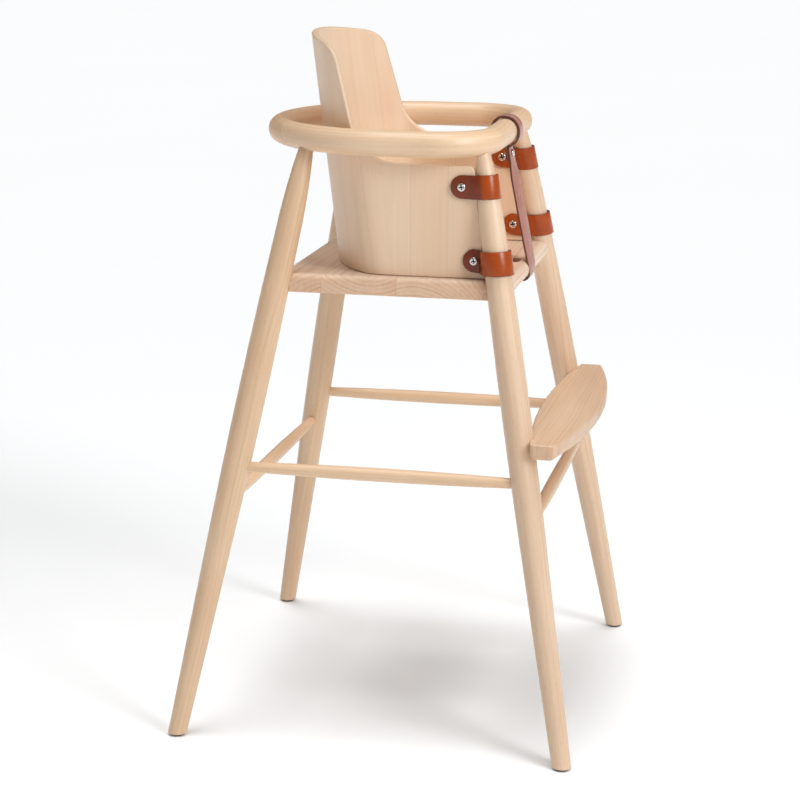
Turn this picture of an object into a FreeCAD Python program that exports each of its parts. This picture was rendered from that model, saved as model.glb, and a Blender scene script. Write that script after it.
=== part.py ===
import FreeCAD, Part
import math
import os
import Sketcher
from FreeCAD import Placement, Rotation, Vector

# A baby high chair for a dining table: four splayed, turned legs carry a closed bent
# ring that is the arm rail, a seat board, four stretchers and a footrest.  A moulded
# plywood shell stands on the seat inside the ring and is tied to the front legs by
# four leather straps.  A fifth strap runs from the ring to the seat, between the legs
# of the child.
# Frame: +Z up, the child faces -Y, and -X is the child's right.  The origin is on the
# floor, midway between the feet.  All sizes are in millimetres.

SIZES = [
    ("foot_x", 248.0, "leg axis at the floor, from the middle, sideways"),
    ("foot_y", 231.0, "leg axis at the floor, from the middle, front to back"),
    ("leg_top_x", 124.0, "leg axis where it meets the ring, sideways"),
    ("leg_foot_radius", 11.0, "leg radius at the floor"),
    ("leg_calf_radius", 15.3, "leg radius at the lower end of the belly"),
    ("leg_shoulder_radius", 14.6, "leg radius at the upper end of the belly"),
    ("leg_belly_bulge", 1.65, "how far the belly swells past a straight cone"),
    ("leg_neck_radius", 8.8, "leg radius under the ring"),
    ("leg_taper_end", 250.0, "along the leg, from the floor to the belly"),
    ("leg_belly_end", 604.0, "along the leg, from the floor to the shoulder"),
    ("leg_neck_start", 708.0, "along the leg, from the floor to the neck"),
    ("leg_shoulder_bulge", 1.55, "how far the shoulder swells past a straight cone"),
    ("leg_tenon_radius", 6.0, "round tenon at the top of each leg"),
    ("leg_tenon_height", 4.0, "how far the tenon passes the ring's centre line"),
    ("leg_tenon_root", 10.0, "how far the tenon starts inside the leg's neck"),
    ("ring_height", 700.0, "floor to the ring's centre line"),
    ("ring_rod_radius", 15.0, "radius of the bent rod"),
    ("ring_half_width", 156.0, "middle to the rod's centre line, sideways"),
    ("ring_front", 113.7, "middle to the rod's centre line, at the front"),
    ("ring_rear", 158.0, "middle to the rod's centre line, at the back"),
    ("ring_front_corner", 62.0, "bend radius of the front corners"),
    ("seat_top", 545.0, "floor to the top of the seat board"),
    ("seat_thickness", 21.0, "thickness of the seat board"),
    ("seat_side_margin", 2.0, "seat's side edge, outside the leg axes"),
    ("seat_rear_margin", 0.0, "seat's rear edge, behind the leg axes"),
    ("seat_nose_margin", 10.0, "seat's front edge, in front of the leg axes"),
    ("seat_edge_round", 9.0, "rounding of the seat's upper side and rear edges"),
    ("seat_nose_round", 10.0, "rounding of the seat's front nose"),
    ("slot_width", 32.0, "strap slot in the seat, sideways"),
    ("slot_depth", 15.0, "strap slot in the seat, front to back"),
    ("slot_rim_round", 2.5, "rounding of the slot's upper and lower rims"),
    ("nose_depth", 13.0, "wood left between the slot and the seat's front edge"),
    ("stretcher_end_radius", 6.0, "stretcher radius at the ends"),
    ("stretcher_middle_radius", 8.0, "stretcher radius at mid length"),
    ("stretcher_side_height", 320.0, "floor to the side stretchers"),
    ("stretcher_rear_height", 280.0, "floor to the rear stretcher"),
    ("stretcher_front_height", 275.0, "floor to the front stretcher"),
    ("footrest_top", 372.0, "floor to the top of the footrest"),
    ("footrest_thickness", 19.0, "thickness of the footrest"),
    ("footrest_half_length", 210.0, "middle to each end of the footrest"),
    ("footrest_end_width", 27.0, "width of the footrest at its ends"),
    ("footrest_rear_bow", 17.0, "how far the rear edge bows back"),
    ("footrest_front_bow", 28.0, "how far the front edge bows forward"),
    ("footrest_seat_in", 5.0, "how far the footrest is let in round the legs"),
    ("footrest_under_round", 8.0, "rounding of the footrest's lower edges"),
    ("footrest_top_round", 2.5, "rounding of the footrest's upper edges"),
    ("footrest_corner", 6.0, "plan radius of the footrest's corners"),
    ("dowel_radius", 4.0, "radius of the hidden dowels"),
    ("dowel_length", 42.0, "length of the dowels in the seat's corners"),
    ("dowel_start", 6.0, "seat dowel's end, outside the leg's axis"),
    ("rest_dowel_length", 33.6, "length of the footrest's dowels"),
    ("rest_dowel_start", 8.0, "footrest dowel's end, behind the leg's axis"),
    ("shell_half_width", 138.8, "middle to the shell's outer side face"),
    ("shell_rear", 86.0, "middle to the shell's outer rear face, at the seat"),
    ("shell_wall", 8.0, "thickness of the moulded plywood"),
    ("shell_corner", 46.0, "outer bend radius of the shell's rear corners"),
    ("shell_rear_radius", 180.0, "outer radius of the shell's back"),
    ("shell_lean", 7.0, "backward lean of the shell, in degrees"),
    ("shell_arm_height", 130.0, "seat to the top of the shell's sides"),
    ("shell_back_height", 258.0, "seat to the upper corner of the back"),
    ("shell_crown", 13.0, "rise of the back's top edge, corner to rear"),
    ("shell_flare_y", 32.0, "middle to the back's front edge, at the arm's height"),
    ("shell_corner_y", 66.0, "middle to the back's front edge, at its upper corner"),
    ("shell_flare_radius", 55.0, "curve from the arm's top up to the back"),
    ("shell_top_radius", 30.0, "curve at the back's upper corner"),
    ("shell_front_radius", 8.0, "rounding of the shell's front upper corners"),
    ("shell_edge_round", 2.0, "easing of the plywood's edges"),
    ("strap_thickness", 2.6, "thickness of the leather"),
    ("strap_height", 27.0, "width of the straps on the front legs"),
    ("strap_tail", 13.0, "screw to the end of the strap"),
    ("strap_bend", 2.5, "screw head to where the strap leaves the shell"),
    ("strap_leg_gap", 0.8, "clearance between a strap's loop and its leg"),
    ("upper_screw_y", 87.0, "upper strap screws, in front of the middle"),
    ("upper_screw_z", 651.0, "upper strap screws, above the floor"),
    ("lower_screw_y", 102.0, "lower strap screws, in front of the middle"),
    ("lower_screw_z", 566.5, "lower strap screws, above the floor"),
    ("screw_head_radius", 5.0, "head radius of the connector screws"),
    ("screw_head_height", 2.6, "head height of the connector screws"),
    ("screw_shank_radius", 2.0, "shank radius of the connector screws"),
    ("screw_barrel_radius", 3.2, "barrel radius of the sleeve nuts"),
    ("screw_tip_room", 1.5, "free room between a screw's tip and its nut's head"),
    ("nut_bore_start", 0.8, "solid metal under a sleeve nut's head"),
    ("cross_length", 5.75, "length of the driver's cross in a screw head"),
    ("cross_width", 1.2, "width of each arm of the cross"),
    ("cross_depth", 1.56, "depth of the cross"),
    ("cross_turn", 12.0, "how far the crosses stand off upright, in degrees"),
    ("crotch_width", 24.0, "width of the strap from the ring to the seat"),
    ("crotch_tail", 34.0, "length of the strap's end that lies on the seat"),
    ("crotch_sag", 1.5, "how far the strap dips under the seat at the slot"),
    ("crotch_nose_inset", 0.5, "how far the strap leans out under the nose"),
    ("crotch_under_bend", 9.0, "bend of the strap's middle line under the nose"),
    ("crotch_front_bend", 30.0, "bend of the strap's middle line in front of the nose"),
    ("crotch_slack", 0.8, "how loosely the strap goes round the ring"),
    ("crotch_run_top", 4.0, "top of the strap's long run, in front of the ring's middle"),
    ("crotch_nose_gap", 0.8, "strap to the seat's nose"),
    ("crotch_overlap", 10.0, "length of the strap's upper end below the stud"),
    ("stud_drop", 12.0, "stud of the strap, below the ring"),
    ("stud_cap_radius", 4.5, "radius of the stud's caps"),
    ("stud_cap_height", 2.2, "height of the stud's caps"),
    ("tail_screw_inset", 12.0, "strap's end to the screw that holds it"),
    ("tail_screw_length", 17.0, "length of that screw under its head"),
    ("tail_hole_depth", 15.0, "depth of its hole in the seat"),
    ("glide_radius", 8.6, "radius of the glide under each foot"),
    ("glide_thickness", 3.0, "thickness of the glide under each foot"),
    ("glide_pin_radius", 1.6, "radius of the glide's pin"),
    ("glide_pin_length", 13.0, "length of the glide's pin"),
    ("glue_gap", 0.12, "clearance between a glued dowel or tenon and its hole"),
    ("cope_gap", 0.25, "clearance between a coped board and the round it fits"),
    ("soft_gap", 0.35, "clearance between leather and what it lies on"),
    ("fit_gap", 0.06, "radial clearance between metal pieces and in their holes"),
]

SIDES = {"right": -1, "left": 1}
ENDS = {"front": -1, "rear": 1}

doc = FreeCAD.newDocument("high_chair")
dims = doc.addObject("Spreadsheet::Sheet", "dims")
for row, (alias, value, note) in enumerate(SIZES, start=1):
    dims.set("A%d" % row, note)
    dims.set("B%d" % row, str(value))
    dims.setAlias("B%d" % row, alias)
doc.recompute()


def size(alias):
    """The value of one cell of the sheet."""
    return float(dims.get(alias))


def work_out(formula):
    """The value of an expression in the sheet's aliases, such as 'dims.foot_x / 2'."""
    return float(dims.evalExpression(formula))


# ---- bodies, sketches and small solids ---------------------------------------------


def new_body(name):
    return doc.addObject("PartDesign::Body", name)


def new_sketch(body, name, plane):
    """A sketch on one of the body's own origin planes, such as 'XY_Plane'."""
    sketch = body.newObject("Sketcher::SketchObject", name)
    support = [item for item in body.Origin.OriginFeatures if item.Role == plane][0]
    sketch.AttachmentSupport = (support, [""])
    sketch.MapMode = "FlatFace"
    return sketch


def bind(sketch, kind, places, formula, name):
    """Adds one dimension to a sketch and ties it to an expression."""
    value = work_out(formula)
    index = sketch.addConstraint(Sketcher.Constraint(kind, *places, value))
    sketch.renameConstraint(index, name)
    sketch.setExpression("Constraints." + name, formula)


def fix_point(sketch, geometry, place, x_formula, y_formula, name):
    """Ties a point of a sketch to its distances from the sketch's origin."""
    bind(sketch, "DistanceX", (-1, 1, geometry, place), x_formula, name + "_x")
    bind(sketch, "DistanceY", (-1, 1, geometry, place), y_formula, name + "_y")


def bow_radius(run, drop, bulge):
    """The radius, as an expression, of an arc over a chord with a given rise."""
    return "(((%s) ^ 2 + (%s) ^ 2) / 4 + (%s) ^ 2) / (2 * (%s))" % (run, drop, bulge, bulge)


def bowed_edge(start, end, radius, side):
    """An arc from start to end; side is +1 where it bows to the left of the chord."""
    chord = end - start
    reach = math.sqrt(radius ** 2 - (chord.Length / 2) ** 2)
    left = Vector(-chord.y, chord.x, 0).normalize()
    middle = (start + end) / 2 + left * side * (radius - reach)
    return Part.Arc(start, middle, end)


def outline(sketch, corners, bows=None):
    """A closed outline through corners, given as pairs of expressions.

    bows gives, for the edge that starts at a corner, its radius as an expression and
    the side that it bows to.  Every other edge is straight.
    """
    bows = bows or {}
    points = [Vector(work_out(x), work_out(y), 0) for x, y in corners]
    edges = []
    for number, start in enumerate(points):
        end = points[(number + 1) % len(points)]
        if number in bows:
            radius, side = bows[number]
            arc = bowed_edge(start, end, work_out(radius), side)
            edges.append(sketch.addGeometry(arc, False))
        else:
            edges.append(sketch.addGeometry(Part.LineSegment(start, end), False))
    # An arc's own start and end follow its turning sense, so they are found by place.
    first, last = [], []
    for number, edge in enumerate(edges):
        near_start = sketch.getPoint(edge, 1).distanceToPoint(points[number])
        near_end = sketch.getPoint(edge, 2).distanceToPoint(points[number])
        first.append(1 if near_start < near_end else 2)
        last.append(2 if near_start < near_end else 1)
    for number, edge in enumerate(edges):
        after = (number + 1) % len(edges)
        sketch.addConstraint(
            Sketcher.Constraint("Coincident", edge, last[number], edges[after], first[after]))
    for number, (x, y) in enumerate(corners):
        fix_point(sketch, edges[number], first[number], x, y, "corner%d" % number)
    for number, (radius, side) in bows.items():
        bind(sketch, "Radius", (edges[number],), radius, "bow%d" % number)
    return edges


def revolve(body, sketch, name):
    """Turns a sketch on the XZ plane once round the body's Z axis."""
    turned = body.newObject("PartDesign::Revolution", name)
    turned.Profile = sketch
    axis = [item for item in body.Origin.OriginFeatures if item.Role == "Z_Axis"][0]
    turned.ReferenceAxis = (axis, [""])
    turned.Angle = 360.0
    body.Tip = turned
    return turned


def pad(body, sketch, name, length):
    block = body.newObject("PartDesign::Pad", name)
    block.Profile = sketch
    block.setExpression("Length", length)
    body.Tip = block
    return block


def pocket_through(body, sketch, name):
    """Cuts a sketch's faces right through the body, both ways from the sketch."""
    cut = body.newObject("PartDesign::Pocket", name)
    cut.Profile = sketch
    cut.Type = 1
    cut.Midplane = True
    body.Tip = cut
    return cut


def fillet(body, base, name, radius, chosen):
    """Rounds the edges of base for which chosen(edge) is true."""
    doc.recompute()
    numbers = [n for n, edge in enumerate(base.Shape.Edges, start=1) if chosen(edge)]
    rounded = body.newObject("PartDesign::Fillet", name)
    rounded.Base = (base, ["Edge%d" % n for n in numbers])
    rounded.setExpression("Radius", radius)
    body.Tip = rounded
    return rounded


def along(start, end):
    """The placement that puts a solid's own Z axis on the line from start to end."""
    return Placement(start, Rotation(Vector(0, 0, 1), end - start))


def peg(name, radius, start, end):
    """A plain round peg between two points, its radius tied to the sheet."""
    rod = doc.addObject("Part::Cylinder", name)
    rod.setExpression("Radius", radius)
    rod.Height = (end - start).Length
    rod.Placement = along(start, end)
    return rod


def subtract(label, base, tools):
    """The sub-part that is left of base when the tools are cut from it one by one."""
    for number, tool in enumerate(tools, start=1):
        name = label if number == len(tools) else "%s_cut%d" % (label, number)
        cut = doc.addObject("Part::Cut", name)
        cut.Base = base
        cut.Tool = tool
        base = cut
    base.Label = label
    return base


def add_feature(label, shape):
    feature = doc.addObject("Part::Feature", label)
    feature.Shape = shape
    feature.Label = label
    return feature


nodes = []


def keep(feature):
    """Marks a feature as a sub-part that is written to its own file."""
    nodes.append(feature)
    return feature


# ---- the lines that the frame is set out on ----------------------------------------


def leg_top_y(end):
    """The ring's centre line over a leg, worked out from the ring's own bends."""
    if end == "front":
        radius = size("ring_front_corner")
        middle_x = size("ring_half_width") - radius
        middle_y = radius - size("ring_front")
    else:
        radius = size("ring_half_width")
        middle_x = 0.0
        middle_y = size("ring_rear") - radius
    reach = math.sqrt(radius ** 2 - (size("leg_top_x") - middle_x) ** 2)
    return middle_y + ENDS[end] * reach


def leg_ends(side, end):
    """A leg's axis: its point on the floor and its point on the ring's centre line."""
    foot = Vector(SIDES[side] * size("foot_x"), ENDS[end] * size("foot_y"), 0)
    top = Vector(SIDES[side] * size("leg_top_x"), leg_top_y(end), size("ring_height"))
    return foot, top


def leg_point(side, end, height):
    """The point of a leg's axis at a height above the floor."""
    foot, top = leg_ends(side, end)
    return foot + (top - foot) * (height / top.z)


def leg_radius(side, end, height):
    """The turned radius of a leg where its axis is at a height above the floor."""
    foot, top = leg_ends(side, end)
    place = (top - foot).Length * height / top.z
    if place < size("leg_taper_end"):
        low, high, bulge = 0.0, size("leg_taper_end"), 0.0
        start_radius, end_radius = size("leg_foot_radius"), size("leg_calf_radius")
    elif place < size("leg_belly_end"):
        low, high, bulge = size("leg_taper_end"), size("leg_belly_end"), size("leg_belly_bulge")
        start_radius, end_radius = size("leg_calf_radius"), size("leg_shoulder_radius")
    else:
        low, high, bulge = size("leg_belly_end"), size("leg_neck_start"), size("leg_shoulder_bulge")
        start_radius, end_radius = size("leg_shoulder_radius"), size("leg_neck_radius")
    share = min((place - low) / (high - low), 1.0)
    straight = start_radius * (1 - share) + end_radius * share
    return straight + 4 * bulge * share * (1 - share)


# ---- arm ring ----------------------------------------------------------------------


def ring_rod(name, radius):
    """The bent rod: a straight front with two round corners, and a half-round back."""
    body = new_body(name)
    path = new_sketch(body, name + "_path", "XY_Plane")
    half = size("ring_half_width")
    front = -size("ring_front")
    corner = size("ring_front_corner")
    middle = size("ring_rear") - half
    slant = corner * (1 - math.sqrt(0.5))
    front_line = path.addGeometry(
        Part.LineSegment(Vector(corner - half, front, 0), Vector(half - corner, front, 0)))
    left_corner = path.addGeometry(Part.Arc(
        Vector(half - corner, front, 0),
        Vector(half - slant, front + slant, 0),
        Vector(half, front + corner, 0)))
    left_line = path.addGeometry(
        Part.LineSegment(Vector(half, front + corner, 0), Vector(half, middle, 0)))
    back = path.addGeometry(Part.Arc(
        Vector(half, middle, 0), Vector(0, middle + half, 0), Vector(-half, middle, 0)))
    right_line = path.addGeometry(
        Part.LineSegment(Vector(-half, middle, 0), Vector(-half, front + corner, 0)))
    right_corner = path.addGeometry(Part.Arc(
        Vector(-half, front + corner, 0),
        Vector(slant - half, front + slant, 0),
        Vector(corner - half, front, 0)))
    chain = [front_line, left_corner, left_line, back, right_line, right_corner]
    for number, edge in enumerate(chain):
        after = chain[(number + 1) % len(chain)]
        path.addConstraint(Sketcher.Constraint("Tangent", edge, 2, after, 1))
    path.addConstraint(Sketcher.Constraint("Horizontal", front_line))
    path.addConstraint(Sketcher.Constraint("Vertical", left_line))
    path.addConstraint(Sketcher.Constraint("Equal", left_corner, right_corner))
    path.addConstraint(Sketcher.Constraint("PointOnObject", back, 3, -2))
    bind(path, "Radius", (left_corner,), "dims.ring_front_corner", "corner_radius")
    bind(path, "Radius", (back,), "dims.ring_half_width", "back_radius")
    bind(path, "DistanceY", (-1, 1, front_line, 1), "-dims.ring_front", "front")
    bind(path, "DistanceY", (-1, 1, back, 3), "dims.ring_rear - dims.ring_half_width", "middle")
    section = new_sketch(body, name + "_section", "YZ_Plane")
    circle = section.addGeometry(
        Part.Circle(Vector(front, 0, 0), Vector(0, 0, 1), work_out(radius)))
    section.addConstraint(Sketcher.Constraint("PointOnObject", circle, 3, -1))
    bind(section, "DistanceX", (-1, 1, circle, 3), "-dims.ring_front", "front")
    bind(section, "Radius", (circle,), radius, "radius")
    rod = body.newObject("PartDesign::AdditivePipe", name + "_pipe")
    rod.Profile = section
    rod.Spine = (path, ["Edge%d" % (n + 1) for n in range(len(chain))])
    body.Tip = rod
    body.setExpression("Placement.Base.z", "dims.ring_height")
    return body


def leg_tenon(side, end, name, radius, past):
    """The round tenon, or its hole: from inside the leg's neck into the ring."""
    foot, top = leg_ends(side, end)
    axis = (top - foot).normalize()
    inside_leg = top - axis * (size("ring_rod_radius") + size("leg_tenon_root"))
    return peg(name, radius, inside_leg, top + axis * past)


def arm_ring():
    holes = []
    for end in ENDS:
        for side in SIDES:
            name = "tenon_hole_%s_%s" % (end, side)
            past = size("leg_tenon_height") + size("glue_gap")
            holes.append(leg_tenon(side, end, name, "dims.leg_tenon_radius + dims.glue_gap", past))
    return keep(subtract("arm_ring", ring_rod("ring_blank", "dims.ring_rod_radius"), holes))


# ---- legs --------------------------------------------------------------------------


def turned_leg(side, end, name, extra):
    """A leg as it leaves the lathe; extra is added to every radius."""
    foot, top = leg_ends(side, end)
    body = new_body(name)
    profile = new_sketch(body, name + "_profile", "XZ_Plane")
    length = "%.9f" % (top - foot).Length
    foot_radius = "(dims.leg_foot_radius%s)" % extra
    calf_radius = "(dims.leg_calf_radius%s)" % extra
    shoulder_radius = "(dims.leg_shoulder_radius%s)" % extra
    neck_radius = "(dims.leg_neck_radius%s)" % extra
    belly = bow_radius("dims.leg_belly_end - dims.leg_taper_end",
                       "dims.leg_calf_radius - dims.leg_shoulder_radius", "dims.leg_belly_bulge")
    shoulder = bow_radius("dims.leg_neck_start - dims.leg_belly_end",
                          "dims.leg_shoulder_radius - dims.leg_neck_radius",
                          "dims.leg_shoulder_bulge")
    corners = [
        ("0", "0"),
        (foot_radius, "0"),
        (calf_radius, "dims.leg_taper_end"),
        (shoulder_radius, "dims.leg_belly_end"),
        (neck_radius, "dims.leg_neck_start"),
        (neck_radius, length),
        ("0", length),
    ]
    outline(profile, corners, bows={2: (belly, -1), 3: (shoulder, -1)})
    revolve(body, profile, name + "_turning")
    # The seam of the turned surface faces outward, away from every joint.
    outward = math.degrees(math.atan2(ENDS[end], SIDES[side]))
    body.Placement = along(foot, top) * Placement(Vector(), Rotation(Vector(0, 0, 1), outward))
    return body


def floor_block(side, end):
    """What is sawn off level, so that the foot stands flat on its glide."""
    foot, top = leg_ends(side, end)
    width = 4 * size("leg_foot_radius")
    block = doc.addObject("Part::Box", "floor_block_%s_%s" % (end, side))
    block.Length = width
    block.Width = width
    block.setExpression("Height", "dims.glide_thickness + dims.leg_foot_radius * 2")
    lower = Vector(foot.x - width / 2, foot.y - width / 2, -2 * size("leg_foot_radius"))
    block.Placement = Placement(lower, Rotation())
    return block


def leg(side, end, stretcher_holes):
    """One leg: turned, coped to the ring, sawn level, bored, and with its tenon."""
    name = "leg_%s_%s" % (end, side)
    blank = turned_leg(side, end, name + "_blank", "")
    cutters = [
        ring_rod(name + "_cope", "dims.ring_rod_radius + dims.cope_gap"),
        floor_block(side, end),
        glide_pin(side, end, "pin_hole_%s_%s" % (end, side), "dims.glide_pin_radius + dims.glue_gap"),
        seat_dowel(side, end, "seat_dowel_hole_%s_%s" % (end, side),
                   "dims.dowel_radius + dims.glue_gap", size("glue_gap")),
    ] + stretcher_holes
    if end == "front":
        cutters.append(footrest_dowel(side, "rest_dowel_hole_" + side,
                                      "dims.dowel_radius + dims.glue_gap", size("glue_gap")))
    bored = subtract(name + "_bored", blank, cutters)
    tenon = leg_tenon(side, end, name + "_tenon", "dims.leg_tenon_radius", size("leg_tenon_height"))
    whole = doc.addObject("Part::Fuse", name)
    whole.Base = bored
    whole.Tool = tenon
    whole.Label = name
    return keep(whole)


# ---- glides ------------------------------------------------------------------------


def glide_pin(side, end, name, radius):
    """A glide's pin, or its hole in the foot."""
    middle = leg_point(side, end, size("glide_thickness"))
    start = Vector(middle.x, middle.y, size("glide_thickness") / 2)
    return peg(name, radius, start, start + Vector(0, 0, size("glide_pin_length")))


def glide(side, end):
    """The hard pad under a foot: a disc with rounded rims and a pin into the leg."""
    name = "glide_%s_%s" % (end, side)
    body = new_body(name + "_disc")
    plan = new_sketch(body, name + "_plan", "XY_Plane")
    circle = plan.addGeometry(
        Part.Circle(Vector(0, 0, 0), Vector(0, 0, 1), size("glide_radius")))
    plan.addConstraint(Sketcher.Constraint("Coincident", circle, 3, -1, 1))
    bind(plan, "Radius", (circle,), "dims.glide_radius", "radius")
    disc = pad(body, plan, name + "_pad", "dims.glide_thickness - dims.glue_gap")
    fillet(body, disc, name + "_rim", "dims.glide_thickness / 4", lambda edge: edge.Closed)
    middle = leg_point(side, end, size("glide_thickness"))
    body.Placement = Placement(Vector(middle.x, middle.y, 0), Rotation())
    whole = doc.addObject("Part::Fuse", name)
    whole.Base = body
    pin_end = size("glue_gap")
    whole.Tool = glide_pin(side, end, name + "_pin", "dims.glide_pin_radius")
    whole.Tool.Height = size("glide_pin_length") - pin_end
    whole.Label = name
    return keep(whole)


# ---- stretchers --------------------------------------------------------------------


def stretcher_line(name):
    """The two leg axis points that a stretcher joins."""
    height = size("stretcher_%s_height" % ("side" if name in SIDES else name))
    if name in SIDES:
        return leg_point(name, "front", height), leg_point(name, "rear", height)
    return leg_point("right", name, height), leg_point("left", name, height)


def stretcher(name):
    """A turned stretcher, fuller at mid length, whose ends are its own tenons."""
    start, end = stretcher_line(name)
    label = "stretcher_" + name
    short_of_axis = size("stretcher_end_radius") / 2
    half = (end - start).Length / 2 - short_of_axis
    body = new_body(label)
    profile = new_sketch(body, label + "_profile", "XZ_Plane")
    tip = "%.9f" % half
    shoulder = "(%.9f - dims.leg_calf_radius)" % half
    swell = "dims.stretcher_middle_radius - dims.stretcher_end_radius"
    bow = bow_radius("2 * " + shoulder, "0", swell)
    corners = [
        ("0", "-" + tip),
        ("dims.stretcher_end_radius", "-" + tip),
        ("dims.stretcher_end_radius", "-" + shoulder),
        ("dims.stretcher_end_radius", shoulder),
        ("dims.stretcher_end_radius", tip),
        ("0", tip),
    ]
    outline(profile, corners, bows={2: (bow, -1)})
    revolve(body, profile, label + "_turning")
    placed = along(start, end)
    placed.Base = (start + end) / 2
    body.Placement = placed
    body.Label = label
    return keep(body)


def stretcher_hole(name, place):
    """A stretcher's hole in the leg at one end of it; place is 0 or 1."""
    start, end = stretcher_line(name)
    near, far = (start, end) if place == 0 else (end, start)
    inward = (far - near).normalize()
    bottom = near + inward * (size("stretcher_end_radius") / 2 - size("glue_gap"))
    radius = "dims.stretcher_end_radius + dims.glue_gap"
    out_of_leg = near + inward * (3 * size("leg_calf_radius"))
    return peg("stretcher_hole_%s_%d" % (name, place), radius, bottom, out_of_leg)


# ---- seat board --------------------------------------------------------------------


def seat_middle_height():
    return size("seat_top") - size("seat_thickness") / 2


def seat_edges():
    """The board's half width, rear edge and front edge, set out from the leg axes."""
    front = leg_point("left", "front", seat_middle_height())
    rear = leg_point("left", "rear", seat_middle_height())
    return front.x + size("seat_side_margin"), rear.y + size("seat_rear_margin"), \
        front.y - size("seat_nose_margin")


def seat_dowel(side, end, name, radius, extra):
    """A dowel, or its hole, from a leg into the seat's corner."""
    middle = leg_point(side, end, seat_middle_height())
    inward = Vector(-SIDES[side], -ENDS[end], 0).normalize()
    start = middle - inward * (size("dowel_start") + extra)
    return peg(name, radius, start, start + inward * (size("dowel_length") + 2 * extra))


def seat_board():
    """The seat: a board with a bullnosed front, a strap slot, and corners coped to the legs."""
    half_width, rear, front = seat_edges()
    front_text, rear_text, half_text = ["%.9f" % value for value in (front, rear, half_width)]
    body = new_body("seat_blank")
    side_view = new_sketch(body, "seat_side_view", "YZ_Plane")
    rounded_outline(side_view, [
        (front_text, "0", "dims.seat_nose_round"),
        (rear_text, "0", None),
        (rear_text, "dims.seat_thickness", "dims.seat_edge_round"),
        (front_text, "dims.seat_thickness", "dims.seat_nose_round"),
    ])
    board = pad(body, side_view, "seat_length", "2 * " + half_text)
    board.Midplane = True
    front_view = new_sketch(body, "seat_front_view", "XZ_Plane")
    reach = half_width * 2
    rounded_outline(front_view, [
        ("-" + half_text, "0", None),
        (half_text, "0", None),
        (half_text, "dims.seat_thickness", "dims.seat_edge_round"),
        ("-" + half_text, "dims.seat_thickness", "dims.seat_edge_round"),
    ], (Vector(-reach, -reach, 0), Vector(reach, reach, 0)))
    pocket_through(body, front_view, "seat_sides")
    top = size("seat_thickness")
    slot_plan = new_sketch(body, "slot_plan", "XY_Plane")
    slot_front = "(%.9f + dims.nose_depth)" % front
    slot_rear = "(%.9f + dims.nose_depth + dims.slot_depth)" % front
    outline(slot_plan, [
        ("-dims.slot_width / 2", slot_front),
        ("dims.slot_width / 2", slot_front),
        ("dims.slot_width / 2", slot_rear),
        ("-dims.slot_width / 2", slot_rear),
    ])
    slot = pocket_through(body, slot_plan, "slot")
    corner = fillet(body, slot, "slot_corners", "dims.slot_depth / 4", slot_corner)
    slot_from = Vector(-size("slot_width"), work_out(slot_front) - 0.01, -1)
    slot_to = Vector(size("slot_width"), work_out(slot_rear) + 0.01, top + 1)
    slot_room = FreeCAD.BoundBox(slot_from, slot_to)

    def slot_rim(edge):
        return edge.BoundBox.ZLength < 0.01 and slot_room.isInside(edge.BoundBox)

    fillet(body, corner, "slot_rims", "dims.slot_rim_round", slot_rim)
    body.setExpression("Placement.Base.z", "dims.seat_top - dims.seat_thickness")
    cutters = [tail_screw_shank("tail_screw_hole", "dims.screw_shank_radius + dims.fit_gap")]
    for end in ENDS:
        for side in SIDES:
            cutters.append(turned_leg(side, end, "seat_cope_%s_%s" % (end, side), " + dims.cope_gap"))
            cutters.append(seat_dowel(side, end, "seat_bore_%s_%s" % (end, side),
                                      "dims.dowel_radius + dims.glue_gap", size("glue_gap")))
    return keep(subtract("seat_board", body, cutters))


def slot_corner(edge):
    """The four upright edges inside the strap slot."""
    box = edge.BoundBox
    upright = box.ZLength > size("seat_thickness") - 0.01
    return upright and abs(abs(box.Center.x) - size("slot_width") / 2) < 0.01


# ---- footrest ----------------------------------------------------------------------


def footrest_rear():
    """Where the footrest's rear corners are, front to back."""
    middle_height = size("footrest_top") - size("footrest_thickness") / 2
    axis = leg_point("left", "front", middle_height)
    leg_face = axis.y - leg_radius("left", "front", middle_height)
    return leg_face + size("footrest_seat_in") - size("footrest_rear_bow") * 0.2


def footrest_dowel(side, name, radius, extra):
    """A dowel, or its hole, from a front leg forward into the footrest."""
    height = size("footrest_top") - size("footrest_thickness") / 2
    middle = leg_point(side, "front", height)
    start = middle + Vector(0, size("rest_dowel_start") + extra, 0)
    length = size("rest_dowel_length") + 2 * extra
    return peg(name, radius, start, start - Vector(0, length, 0))


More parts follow.
